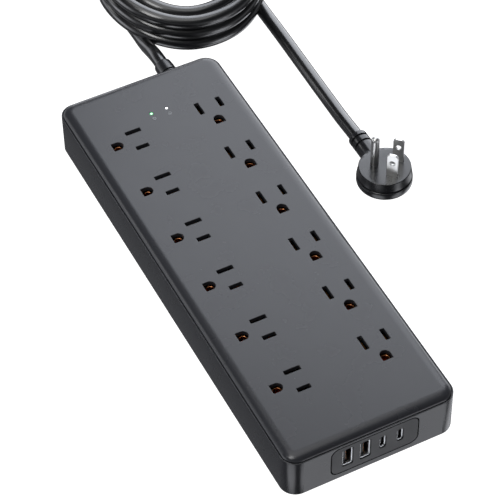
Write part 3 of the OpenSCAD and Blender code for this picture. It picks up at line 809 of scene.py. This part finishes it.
# %% [markdown]
# ## The ports' sleeves
#
# Each port is a folded sleeve of nickel-plated steel, set back behind the plate's opening. Its
# mouth is rolled inwards, and that round lip is what catches the light at the right and below,
# while the opening's own edge shades it at the left and above. The sleeve's profile runs from
# the back, round the lip, to the bottom of the port, and is carried round the port's outline.

# %% USB sleeves
# Nickel-plated steel: a clean bright metal, soft enough not to mirror the plate
nickel_plate = grained("nickel_plated_steel", "e0e2e4", roughness=0.3, grain_mm=0.8,
                       grain_depth_mm=0.002, metallic=1.0, spread=0.05)
SLEEVE_WALL = 0.6
SLEEVE_MOUTH_R = 0.45
SLEEVE_RECESS = 0.7
SLEEVE_EDGE = 0.05
SLEEVE_FRONT = plate_low[1] + SLEEVE_RECESS
for name, (low, high) in port_boxes.items():
    depth = high[1] - SLEEVE_FRONT
    outer = port_outline(name)
    mouth_edge = round_edge(SLEEVE_MOUTH_R, steps=6) * [-1, 1] - [SLEEVE_WALL, 0]
    profile = np.concatenate([[[0, depth], [0, SLEEVE_EDGE], [-SLEEVE_EDGE, 0]], mouth_edge,
                              [[-SLEEVE_WALL, depth - SLEEVE_WALL]]])
    sleeve = [carry(outer, profile), flat_face(outer[0], height=depth),
              flat_face(shrunk(outer, SLEEVE_WALL), height=depth - SLEEVE_WALL)]
    make_piece(name + "_sleeve", placed(sleeve, facing_front(SLEEVE_FRONT)), nickel_plate, stands_for=[name])

# %% [markdown]
# ## The plug's profiles
#
# The plug is moulded round its pins in one shot of PVC: a low disc whose face carries the pins,
# with a neck that grows out of its rim and ends in two slits that let it flex. Two profiles
# describe it: one up the disc's side, with the groove that a thumb and finger grip, and one
# along the neck.

# %% Plug profiles
plug_high = box_mm("plug_body")[1]
plug_x = mounts["power_plug"][0]
plug_y = mounts["power_plug"][1]
PLUG_T = mounts["power_plug"][2]
FLANGE_R = 15.9
FACE_R = 14.9
NECK_R = 5.6
NECK_Z = 6.0
NECK_SLITS = (23.1, 27.6)
SLIT_W = 1.2
SLIT_DEPTH = 0.9
SLIT_EDGE = 0.15
FILLET_R = 4.0
NECK_START = 21
NECK_ROUND = 0.6
NECK_BLEND = (9, 18)
DISC_ROUND = 2
FACE_ROUND = 0.5
SIDE_GROOVE = ((0, 4.8), (0.1, 5.1), (0.3, 5.35), (0.6, 5.5), (1.2, 5.6), (1.25, 6.2), (0.5, 6.35),
               (0.3, 6.7))
UNDERSIDE_R = (0, 4, 8, 11)
PLUG_FACE_R = (12, 8, 4, 0)
neck_end = plug_high[1] - plug_y


def slit_rows(start, width, radius, depth):
    """Rows (radius, y) down one side of a slit and up the other, with its edges eased."""
    eased, bottom, end = radius - SLIT_EDGE, radius - depth, start + width
    return [[radius, start - SLIT_EDGE], [eased, start], [bottom, start], [bottom, end], [eased, end],
            [radius, end + SLIT_EDGE]]


def disc_rows():
    """(R, z) up the disc's side, from the middle of the underside to the middle of the face."""
    corner = np.linspace(0, np.pi / 2, 6)
    bottom = np.column_stack([FLANGE_R - DISC_ROUND * (1 - np.sin(corner)),
                              DISC_ROUND * (1 - np.cos(corner))])
    groove = [[FLANGE_R - depth, z] for depth, z in SIDE_GROOVE]
    top = np.column_stack([FACE_R - FACE_ROUND * (1 - np.cos(corner)),
                           PLUG_T - FACE_ROUND * (1 - np.sin(corner))])
    underside = [[r, 0] for r in UNDERSIDE_R]
    face = [[r, PLUG_T] for r in PLUG_FACE_R]
    return np.concatenate([underside, bottom, [[FLANGE_R, 3.5]], groove, [[FACE_R + 0.25, 9]], top, face])


def neck_stations():
    """(y, r) along the neck: two slits, and a rounded end that closes on the cord."""
    stations = [[NECK_START, NECK_R]]
    for start in NECK_SLITS:
        slit = slit_rows(start, SLIT_W, NECK_R, SLIT_DEPTH)
        stations += [[y, radius] for radius, y in slit]
    end = np.linspace(0, np.pi / 2, 5)
    rounding = np.column_stack([neck_end - NECK_ROUND * (1 - np.sin(end)),
                                NECK_R - NECK_ROUND * (1 - np.cos(end))])
    return np.concatenate([stations, rounding, [[neck_end, 0]]])


print("the plug has", len(disc_rows()), "rows, and", len(neck_stations()), "stations along its neck")

# %% [markdown]
# ## The plug's body
#
# The body is one surface, so that the neck flows out of the disc with no joint. Each row is a
# closed path seen from above: an arc of radius R round the disc, a hollow fillet, and a straight
# run at w beside the neck. The rows climb from the middle of the underside, over the rim and the
# groove, to the middle of the face. Along the neck the same rows spread round a circle,
# w = r cos f and z = c + r sin f. Two solids joined by a boolean would leave a hard line there.

# %% Plug body
def plug_body_surface():
    """Half the plug, from its nose round the right side to the neck's end, and its mirror image.
    A row's fillet of radius f touches both its arc and its neck, where the reach along the neck
    is the root of (R + f)^2 - (w + f)^2."""
    radius, height = disc_rows().T
    climb = np.linspace(-np.pi / 2, np.pi / 2, len(radius))
    width = np.minimum(NECK_R * np.cos(climb), radius)
    fillet = np.minimum(FILLET_R, radius)
    reach = np.sqrt(np.maximum((radius + fillet) ** 2 - (width + fillet) ** 2, 0))
    meet = np.arctan2(reach, width + fillet)
    t = np.linspace(0, 1, 49)[None]
    angle = -np.pi / 2 + (meet[:, None] + np.pi / 2) * t
    arc = np.stack([radius[:, None] * np.cos(angle), radius[:, None] * np.sin(angle)], axis=-1)
    back = (meet + np.pi)[:, None] - meet[:, None] * np.linspace(0, 1, 9)[None, 1:]
    centre = np.stack([width + fillet, reach], axis=-1)[:, None]
    hollow = centre + fillet[:, None, None] * np.stack([np.cos(back), np.sin(back)], axis=-1)
    y, r = neck_stations().T
    neck = np.stack(np.broadcast_arrays(r[None] * np.cos(climb)[:, None], y[None]), axis=-1)
    flat = np.concatenate([arc, hollow, neck], axis=1)
    on_neck = ease((flat[..., 1] - NECK_BLEND[0]) / (NECK_BLEND[1] - NECK_BLEND[0]))
    ring = np.concatenate([np.full(arc.shape[1] + hollow.shape[1], NECK_R), r])
    lift = (1 - on_neck) * height[:, None] + on_neck * (NECK_Z + ring[None] * np.sin(climb)[:, None])
    half = np.concatenate([flat, lift[..., None]], axis=-1)
    surfaces = []
    for side in (1, -1):
        surfaces.append(grid(half * [side, 1, 1] + [plug_x, plug_y, 0], loop=False))
    return surfaces


# Moulded PVC: black and slightly shiny, smoother than the case and duller than the cord
moulded_pvc = grained("moulded_pvc_plug", "1c1d20", roughness=0.3, grain_mm=0.5,
                      grain_depth_mm=0.004, coat=0.3, coat_roughness=0.15)
plug_shell = make_piece("plug_moulding", plug_body_surface(), moulded_pvc, stands_for=["plug_body"])

# %% [markdown]
# ## Blades and ground pin
#
# The blades are stamped brass, nickel-plated: flat, 1.5 mm thick, with cut corners at the tip and
# a hole near it. The ground pin is turned, with a domed tip.

# %% Blades and pin
BLADE_W = 6.35
BLADE_T = 1.5
BLADE_CHAMFER = 1.3
BLADE_HOLE_R = 1.6
BLADE_HOLE_DOWN = 6
PIN_R = 2.38
PLUG_TURN = 45
PATTERN_SHIFT = 6
ROOT_DEPTH = 4
blade_top = box_mm("plug_line_blade")[1][2]
pin_top = box_mm("plug_ground_pin")[1][2]
# Nickel-plated brass: bright and a little satin from the press, so the blades glow, not mirror
nickel_blade = grained("nickel_plated_brass", "e4e4e2", roughness=0.36, grain_mm=1.5,
                       grain_depth_mm=0.002, metallic=1.0, spread=0.04)


def at_pins(points):
    """From the pins' own frame, ground pin at the origin and blades towards -Y, to the plug."""
    a = np.radians(PLUG_TURN)
    x, y = points[:, 0], points[:, 1] + PATTERN_SHIFT
    return np.column_stack([plug_x + x * np.cos(a) - y * np.sin(a),
                            plug_y + x * np.sin(a) + y * np.cos(a), points[:, 2]])


def blade_surfaces(side):
    """A slab cut to the blade's outline, stood up edge on and moved half the gap to its side."""
    w, c = BLADE_W / 2, BLADE_CHAMFER
    root, shoulder = PLUG_T - ROOT_DEPTH, blade_top - BLADE_CHAMFER
    corners = [[-w, root], [w, root], [w, shoulder], [w - c, blade_top], [c - w, blade_top],
               [-w, shoulder]]
    outline = rounded(corners, [0.1, 0.1, 0.5, 0.5, 0.5, 0.5], steps=4)
    hole = circle(BLADE_HOLE_R, (0, blade_top - BLADE_HOLE_DOWN), steps=24)
    parts = slab(outline, [hole], BLADE_T, edge=0.2, both=True)
    across = side * BLADE_GAP / 2 - BLADE_T / 2

    def stand(p):
        """The slab edge on, moved half the gap to its side."""
        return at_pins(np.column_stack([across + p[:, 2], p[:, 0] - GROUND_OFFSET, p[:, 1]]))

    return placed(parts, stand)


def pin_surfaces():
    """A circle carried up the pin's side and over its dome, radius r cos a at height r sin a."""
    dome = np.linspace(0, np.pi / 2, 9)
    tip = np.column_stack([PIN_R * (np.cos(dome) - 1), pin_top - PIN_R * (1 - np.sin(dome))])
    root = PLUG_T - ROOT_DEPTH
    profile = np.concatenate([[[-PIN_R, root], [0, root]], tip])
    return placed([carry(circle(PIN_R, steps=40), profile)], at_pins)


neutral_blade = make_piece("neutral_blade", blade_surfaces(-1), nickel_blade,
                           stands_for=["plug_neutral_blade"])
line_blade = make_piece("line_blade", blade_surfaces(1), nickel_blade, stands_for=["plug_line_blade"])
ground_pin = make_piece("ground_pin", pin_surfaces(), nickel_blade, stands_for=["plug_ground_pin"])

# %% [markdown]
# ## The gland
#
# Where the cord leaves the case it passes through a moulded sleeve with slits in it, which bends
# with the cord and keeps it from kinking. It is turned work, so it is a few rows of radius and
# place along the axis, spun round.

# %% Cord gland
GLAND_FLANGE = (7.4, 2.9)
GLAND_SLITS = (5, 9)
GLAND_SLIT = (1, 0.7)
GLAND_FIT = 0.05
GLAND_MOUTH_IN = 0.4
GLAND_ROUND = 1.2


def spun(rows, centre):
    """Rows (radius, y) spun round an axis along Y through (x, z)."""
    profile = np.array(rows) - [GLAND_R, 0]
    return placed([carry(circle(GLAND_R, centre, steps=48), profile)], lambda p: p[:, [0, 2, 1]])


def gland_rows():
    """(r, y) from the flange inside the case, out through the wall, over two slits, to a rounded
    mouth that closes on the cord."""
    start, end, back = gland_low[1], gland_high[1], case_high[1]
    flange_r, flange_t = GLAND_FLANGE
    neck = GLAND_R - GLAND_FIT
    rows = [[0, start], [flange_r, start], [flange_r, start + flange_t], [neck, start + flange_t],
            [neck, back + 0.1]]
    for along in GLAND_SLITS:
        rows += slit_rows(back + along, GLAND_SLIT[0], GLAND_R, GLAND_SLIT[1])
    turn = np.linspace(0, np.pi / 2, 6)
    mouth_r = GLAND_R - GLAND_MOUTH_IN - GLAND_ROUND
    mouth = np.column_stack([mouth_r + GLAND_ROUND * np.cos(turn),
                             end - GLAND_ROUND + GLAND_ROUND * np.sin(turn)])
    return np.concatenate([rows, [[GLAND_R - 0.2, end - 4]], mouth, [[0, end]]])


gland = make_piece("cord_strain_relief", spun(gland_rows(), gland_centre), moulded_pvc,
                   stands_for=["cord_gland"])

# %% [markdown]
# ## The cord as a cord
#
# The cord is a flexible thing with a length, a thickness and a route, that leaves the case at one
# end and carries the gland and the plug. This cell only prints where it leaves the gland.

print("the cord leaves the gland at", cord_path[0], "mm")

# %% [markdown]
# ## The reset button
#
# The breaker's button is polished ABS, dished so that a fingertip finds it. It slides in a collar
# of the same plastic with a rolled rim, and rides on its own body, since it moves.

# %% Collar and button
# ABS from a polished mould: glossy black, unlike the matt case round it
polished_abs = grained("polished_abs", "141517", roughness=0.18, grain_mm=2, grain_depth_mm=0.001)
COLLAR_FLANGE = (8, 1.2)
COLLAR_PROUD = 0.35
BORE_R = 3.9
BUTTON_R = 3.83
BUTTON_FLANGE = (4.8, 2)
BUTTON_EDGE_R = 0.5
DISH_R = BUTTON_R - 0.7
DISH_DEPTH = 0.45


def collar_rows():
    """(r, y) round the collar's wall: up the outside, over a half-round rim, down the bore."""
    start, end, wall = bushing_low[1], bushing_high[1] + COLLAR_PROUD, BUSHING_R - GLAND_FIT
    turn = np.linspace(0, np.pi / 2, 5)
    middle = (BORE_R + wall) / 2
    half = (wall - BORE_R) / 2
    rim_out = np.column_stack([middle + half * np.cos(turn), end - half + half * np.sin(turn)])
    rim_in = np.column_stack([middle - half * np.sin(turn), end - half + half * np.cos(turn)])
    flange_r, flange_t = COLLAR_FLANGE
    foot = [[BORE_R, start], [flange_r, start], [flange_r, start + flange_t], [wall, start + flange_t]]
    return np.concatenate([foot, rim_out, rim_in[1:], [[BORE_R, start]]])


def button_rows():
    """(r, y) from the flange along the side, over a round edge, into a dish whose depth falls off
    as 1 - (r / R)^2."""
    low, high = box_mm("reset_button")
    turn = np.linspace(0, np.pi / 2, 5)
    edge = np.column_stack([BUTTON_R - BUTTON_EDGE_R * (1 - np.cos(turn)),
                            high[1] - BUTTON_EDGE_R * (1 - np.sin(turn))])
    dish_r = np.linspace(DISH_R, 0, 7)
    dish = np.column_stack([dish_r, high[1] - DISH_DEPTH * (1 - (dish_r / DISH_R) ** 2)])
    flange_r, flange_t = BUTTON_FLANGE
    foot = [[0, low[1]], [flange_r, low[1]], [flange_r, low[1] + flange_t], [BUTTON_R, low[1] + flange_t]]
    return np.concatenate([foot, edge, dish])


make_piece("button_collar", spun(collar_rows(), bushing_centre), polished_abs,
           stands_for=["breaker_bushing"])
make_piece("reset_button_cap", spun(button_rows(), bushing_centre), polished_abs,
           body="reset_button", stands_for=["reset_button"])

# %% [markdown]
# ## The parts that the CAD model already has right
#
# Contacts, boards, wires and screws keep their CAD shapes and get their own finishes. Each is
# named for its real material, and the grain is always drawn a few times coarser than it is,
# because the real one would not show.

# %% Finishes of the CAD parts
finishes = {
    # Brass from the press: a warm yellow glint deep in the slots
    "brass_contact": grained("stamped_brass", "c98a4b", roughness=0.3, grain_mm=1,
                             grain_depth_mm=0.002, metallic=1.0),
    # Zinc plate: a cool grey metal, dull beside nickel
    "zinc_screw": grained("zinc_plated_steel", "9fa1a4", roughness=0.35, grain_mm=0.6,
                          grain_depth_mm=0.003, metallic=1.0),
    # Polyester film with a satin silver back: a flat, even grey
    "silver_label": grained("satin_polyester_film", "b9bbbd", roughness=0.45, grain_mm=0.5,
                            grain_depth_mm=0.002),
    # Glass-filled nylon: black with little gloss, so that the holes stay dark
    "black_insulator": grained("glass_filled_nylon", "1b1b1d", roughness=0.5, grain_mm=0.4,
                               grain_depth_mm=0.006),
    # Solder mask over fibreglass: an even green with a slight gloss
    "green_board": grained("solder_masked_board", "1e5a38", roughness=0.35, grain_mm=0.8,
                           grain_depth_mm=0.004),
    # Tape wound over a transformer: a waxy yellow
    "transformer_tape": grained("polyester_tape", "c7a13a", roughness=0.4, grain_mm=1,
                                grain_depth_mm=0.004),
    # Sleeve shrunk over a capacitor: a glossy dark blue
    "capacitor_sleeve": grained("shrunk_sleeve", "2b3f63", roughness=0.3, grain_mm=1,
                                grain_depth_mm=0.003),
    # Epoxy that a varistor was dipped in: a thick blue skin with soft waves
    "varistor_blue": grained("dipped_epoxy", "2a63b8", roughness=0.35, grain_mm=1.5,
                             grain_depth_mm=0.01),
    # Moulded polyester box: a plain matt yellow
    "capacitor_yellow": grained("moulded_polyester_box", "d8b23a", roughness=0.45, grain_mm=0.5,
                                grain_depth_mm=0.004),
    # Tinned steel: a pale metal, brighter than zinc
    "tinned_metal": grained("tinned_steel", "b9bcc0", roughness=0.3, grain_mm=0.8,
                            grain_depth_mm=0.002, metallic=1.0),
    # Extruded PVC on the wires: smooth and a little shiny, in three colours
    "wire_black": grained("wire_pvc_black", "17171a", roughness=0.35, grain_mm=1,
                          grain_depth_mm=0.003),
    "wire_white": grained("wire_pvc_white", "dededb", roughness=0.35, grain_mm=1,
                          grain_depth_mm=0.003),
    "wire_green": grained("wire_pvc_green", "2f8f46", roughness=0.35, grain_mm=1,
                          grain_depth_mm=0.003),
}
print(len(finishes), "finishes for the CAD parts")

# %% [markdown]
# ## The lit lenses
#
# A lens is clear moulded plastic with a lamp behind it. Real light would need glass and a source
# inside, which costs many samples. It is enough that the middle glows and the rim keeps the
# plastic's own colour: the glow falls off smoothly with the distance from the lens's centre.

# %% Lenses
CORE_EDGE = 0.25
RIM_GLOW = 0.5
LENS_GLOW = 2.5


def lit_lens(name, node, core_mm, core_colour, rim_colour):
    """A clear lens with a lamp behind its middle: bright within the core's radius, dim outside."""
    material, tree = new_material(name)
    low, high = box_mm(node)
    centre = np.array([*(low + high)[:2] / 2, high[2]]) * MM
    place = add_node(tree, "ShaderNodeTexCoord", {}).outputs["Object"]
    away = add_node(tree, "ShaderNodeVectorMath", {0: place, 1: tuple(centre)}, operation="DISTANCE")
    core = add_node(tree, "ShaderNodeMapRange", {
        "Value": away.outputs["Value"], "From Min": (core_mm + CORE_EDGE) * MM,
        "From Max": core_mm * MM}, interpolation_type="SMOOTHSTEP").outputs["Result"]
    colour = add_node(tree, "ShaderNodeMixRGB", {
        "Fac": core, "Color1": linear(rim_colour), "Color2": linear(core_colour)}).outputs["Color"]
    glow = add_node(tree, "ShaderNodeMapRange", {
        "Value": core, "To Min": RIM_GLOW, "To Max": LENS_GLOW}).outputs["Result"]
    shader = add_node(tree, "ShaderNodeBsdfPrincipled", {
        "Base Color": linear(rim_colour), "Roughness": 0.2, "Emission Color": colour,
        "Emission Strength": glow})
    add_node(tree, "ShaderNodeOutputMaterial", {"Surface": shader.outputs["BSDF"]})
    return material


# Green polycarbonate with a pale hot spot, and clear polycarbonate with a white one
finishes["led_green"] = lit_lens("green_lens", "led_lens_green", 0.42, "d9ffe2", "2fa458")
finishes["led_white"] = lit_lens("white_lens", "led_lens_white", 0.6, "ffffff", "5a5d60")
for part in frame["record"]["subparts"]:
    node = frame["nodes"][part["node"]]
    if not node.hide_render:
        node.data.materials.clear()
        node.data.materials.append(finishes[part["material_slot"]])
print("finished", sum(not node.hide_render for node in frame["nodes"].values()), "CAD parts")

# %% [markdown]
# ## The ground contacts' mouths
#
# Under each ground hole is the rolled mouth of its contact, stamped in phosphor bronze, which
# glints through the hole. Each is a profile with a half-round lip, carried round a circle.

# %% Contact mouths
# Phosphor bronze: redder than brass, and bright where the lip turns to the light
phosphor_bronze = grained("phosphor_bronze", "d08a5c", roughness=0.25, grain_mm=0.6,
                          grain_depth_mm=0.003, metallic=1.0, spread=0.08)
MOUTH_R = 2.75
MOUTH_T = 0.55
MOUTH_TOP = 25.6
MOUTH_LOW = 21.5
GROUND_PLACE = (np.array([[0, -GROUND_OFFSET]]), np.zeros((1, 2)))


def mouth(centre):
    """(offset, z) up the outside, over a lip half a circle round, and down the bore."""
    half_round = np.linspace(0, np.pi, 7)
    radius = MOUTH_T / 2
    lip = np.column_stack([radius * (np.cos(half_round) - 1),
                           MOUTH_TOP - radius * (1 - np.sin(half_round))])
    profile = np.concatenate([[[0, MOUTH_LOW]], lip, [[-MOUTH_T, MOUTH_LOW], [0, MOUTH_LOW]]])
    return carry(circle(MOUTH_R, centre, steps=28), profile)


ground_centres = []
for name, place in mounts.items():
    if name.startswith("outlet_"):
        quarter = -90 if "left" in name else 0
        ground_centres.append(turned(GROUND_PLACE, quarter, place[:2])[0][0])
make_piece("ground_contact_mouths", [mouth(centre) for centre in ground_centres], phosphor_bronze)

# %% [markdown]
# ## The USB-A pads
#
# Each black tongue carries four contact pads along its length, which the CAD model leaves out.
# They are small slabs laid on the tongue's right face. A texture could paint them, but a pad that
# stands a little proud catches the light along its edge, as the real one does.

# %% USB-A pads
PAD_HEIGHTS = (-3.5, -1.2, 1.2, 3.5)
PAD_SIZE = (0.9, 6)
PAD_IN = 3.1
PAD_T = 0.3
PAD_PROUD = 0.25


def pads(name):
    """Four slabs on the right face of a tongue, flush with its tip."""
    low, high = box_mm(name)

    def lay(p):
        """The slab on its side, its face outwards."""
        return np.column_stack([high[0] + PAD_PROUD - p[:, 2], p[:, 1], p[:, 0]])

    parts = []
    for z in (low[2] + high[2]) / 2 + np.array(PAD_HEIGHTS):
        outline = rounded(rectangle(*PAD_SIZE, (z, low[1] + PAD_IN)), 0.1, steps=2)
        parts += placed(slab(outline, thickness=PAD_T, edge=0.08, both=True), lay)
    return parts


usb_a_pads = pads("usb_a_tongue_1") + pads("usb_a_tongue_2")
make_piece("usb_pads", usb_a_pads, finishes["brass_contact"])

# %% [markdown]
# ## The printed signs
#
# Beside each lamp a small sign is printed in grey: a shield with an upright bar for protection,
# and the earth sign in a ring. Ink has almost no thickness, so each sign is a closed sheet two
# hundredths of a millimetre proud of the cover. That keeps its edges sharp at any distance, which
# a painted texture would not.

# %% Printed signs
# Pad-printed ink: a flat light grey
sign_print = grained("sign_print", "a3a7ab", roughness=0.5, grain_mm=0.3, grain_depth_mm=0.001)
SIGN_T = 0.02
SHIELD_AT = (-4, 105.7)
SHIELD_LINE = 0.24
EARTH_AT = (5.4, 105.6)
EARTH_LINE = 0.16


def printed(outlines, centre):
    """Thin prints on the cover. Each is a loop and a list of holes in it."""
    surfaces = []
    for loop, inner in outlines:
        loops = [loop + centre, *(hole + centre for hole in inner)]
        surfaces += [straight(one, cover_top - SIGN_T, cover_top + SIGN_T) for one in loops]
        surfaces += [flat_face(loops[0], loops[1:], cover_top + d) for d in (-SIGN_T, SIGN_T)]
    return surfaces


shield_corners = [[0, -1.15], [0.9, -0.25], [0.95, 0.8], [0, 1.1], [-0.95, 0.8], [-0.9, -0.25]]
shield = rounded(shield_corners, 0.3, steps=4)
earth_ring = circle(1.1, steps=32)
bars = [rectangle(EARTH_LINE, 0.56, (0, 0.44)), rectangle(1.1, EARTH_LINE, (0, 0.02)),
        rectangle(0.7, EARTH_LINE, (0, -0.3)), rectangle(0.3, EARTH_LINE, (0, -0.62))]
shield_sign = [(shield[0], [shrunk(shield, SHIELD_LINE)]), (rectangle(0.18, 0.9), [])]
earth_sign = [(earth_ring[0], [shrunk(earth_ring, EARTH_LINE)]), *((bar, []) for bar in bars)]
signs = printed(shield_sign, SHIELD_AT) + printed(earth_sign, EARTH_AT)
make_piece("printed_signs", signs, sign_print)

# %% [markdown]
# ## The lamps
#
# Black plastic shows little of its own colour. What the eye reads is what it mirrors, so the
# light is a few large soft lamps, each placed where one surface would mirror it. The first hangs
# past the far end and gives the cover its grey, the second brightens the coil and the third the
# walls on the left. The last, overhead, fills what the others leave.

# %% Lamps
bpy.context.scene.view_settings.view_transform = "Standard"


def soft_light(name, azimuth, elevation, distance, width, height, radiance, tint="ffffff"):
    """A rectangular lamp that faces the strip's middle, in degrees and metres. Its power is
    pi times its area times its radiance, which is how bright it looks when mirrored."""
    data = bpy.data.lights.new(name, "AREA")
    data.shape = "RECTANGLE"
    data.size, data.size_y = width, height
    data.energy = np.pi * width * height * radiance
    data.color = linear(tint)[:3]
    lamp = bpy.data.objects.new(name, data)
    bpy.context.scene.collection.objects.link(lamp)
    a, e = np.radians([azimuth, elevation])
    lamp.location = distance * Vector((np.cos(a) * np.cos(e), np.sin(a) * np.cos(e), np.sin(e)))
    lamp.rotation_euler = lamp.location.to_track_quat("Z", "Y").to_euler()
    print(f"lamp {name}: {data.energy:.1f} W")


soft_light("far_right", 50, 36, 1.25, 0.9, 1.0, 3.3, "f3f7ff")
soft_light("back_left", 139, 25, 1.3, 0.4, 0.36, 2.0)
soft_light("over_left", -152, 60, 1.2, 0.34, 0.66, 6.5)
soft_light("overhead", 70, 84, 1.2, 0.8, 0.8, 1.5)

# %% [markdown]
# ## The room
#
# The world is what a studio would be: almost dark, with a band of light round the horizon and a
# few white cards low down. The cards stand where the walls, the plug and the metal
# of the ports would mirror them. The band is bright in two directions, and fades out above and
# below. A card is a round patch of the sky, given by its direction and two angles.

# %% Room
world = bpy.data.worlds.new("studio")
bpy.context.scene.world = world
world.use_nodes = True
room = world.node_tree
room.nodes.clear()
incoming = add_node(room, "ShaderNodeNewGeometry", {}).outputs["Incoming"]
look = add_node(room, "ShaderNodeVectorMath", {0: incoming, 1: (-1, -1, -1)},
                operation="MULTIPLY").outputs["Vector"]


def towards(azimuth, elevation, inner, outer):
    """One within the inner angle of a direction and zero outside the outer angle, in degrees."""
    a, e = np.radians([azimuth, elevation])
    direction = (np.cos(a) * np.cos(e), np.sin(a) * np.cos(e), np.sin(e))
    cosine = add_node(room, "ShaderNodeVectorMath", {0: look, 1: direction}, operation="DOT_PRODUCT")
    return add_node(room, "ShaderNodeMapRange", {
        "Value": cosine.outputs["Value"], "From Min": np.cos(np.radians(outer)),
        "From Max": np.cos(np.radians(inner))}, interpolation_type="SMOOTHSTEP").outputs["Result"]


def with_cards(brightness, cards):
    """A brightness plus each card's, which is its place in the room times its strength."""
    for card, strength in cards:
        brightness = add_node(room, "ShaderNodeMath", {0: card, 1: strength, 2: brightness},
                              operation="MULTIPLY_ADD").outputs["Value"]
    return brightness


height = add_node(room, "ShaderNodeSeparateXYZ", {"Vector": look}).outputs["Z"]
below = add_node(room, "ShaderNodeMapRange", {
    "Value": height, "From Min": -0.3, "From Max": 0.05},
    interpolation_type="SMOOTHSTEP").outputs["Result"]
above = add_node(room, "ShaderNodeMapRange", {
    "Value": height, "From Min": 0.42, "From Max": 0.0},
    interpolation_type="SMOOTHSTEP").outputs["Result"]
band = add_node(room, "ShaderNodeMath", {0: below, 1: above}, operation="MULTIPLY").outputs["Value"]
horizon = with_cards(0.5, [(towards(46, 0, 15, 45), 3.4), (towards(142, 0, 20, 55), 1.3)])
radiance = with_cards(0.04, [
    (band, horizon), (towards(-63.6, -48.7, 11, 16), 1.7), (towards(-142, -48.7, 13, 19), 1.9),
    (towards(-66, -18, 8, 18), 3.0), (towards(0, -48.7, 14, 22), 1.2),
    (towards(173, -12, 8, 22), 1.8), (towards(125, -48.7, 20, 35), 0.12)])
background = add_node(room, "ShaderNodeBackground", {"Color": linear("f7f9ff"), "Strength": radiance})
add_node(room, "ShaderNodeOutputWorld", {"Surface": background.outputs["Background"]})
print("the room is", len(room.nodes), "nodes")

# %% [markdown]
# ## The floor
#
# A sheet of pale paper. The camera sees it lit well past white, as a shop's plain background is,
# while it gives the object only the soft light that paper would.

# %% Floor
FLOOR = 6.0
floor_material, tree = new_material("pale_floor")
rays = add_node(tree, "ShaderNodeLightPath", {})
paper = add_node(tree, "ShaderNodeBsdfDiffuse", {"Color": (0.35, 0.35, 0.35, 1)})
glow = add_node(tree, "ShaderNodeEmission", {"Color": (1, 1, 1, 1), "Strength": 1.1})
bright = add_node(tree, "ShaderNodeAddShader", {0: paper.outputs["BSDF"], 1: glow.outputs["Emission"]})
either = add_node(tree, "ShaderNodeMixShader", {
    "Fac": rays.outputs["Is Camera Ray"], 1: paper.outputs["BSDF"], 2: bright.outputs["Shader"]})
add_node(tree, "ShaderNodeOutputMaterial", {"Surface": either.outputs["Shader"]})
floor_mesh = bpy.data.meshes.new("floor")
floor_corners = FLOOR * np.array([[-1, -1, 0], [1, -1, 0], [1, 1, 0], [-1, 1, 0]])
floor_mesh.from_pydata(floor_corners.tolist(), [], [(0, 1, 2, 3)])
floor_mesh.materials.append(floor_material)
floor = bpy.data.objects.new("floor", floor_mesh)
bpy.context.scene.collection.objects.link(floor)
floor.visible_glossy = False
print("the floor is", 2 * FLOOR, "m across")
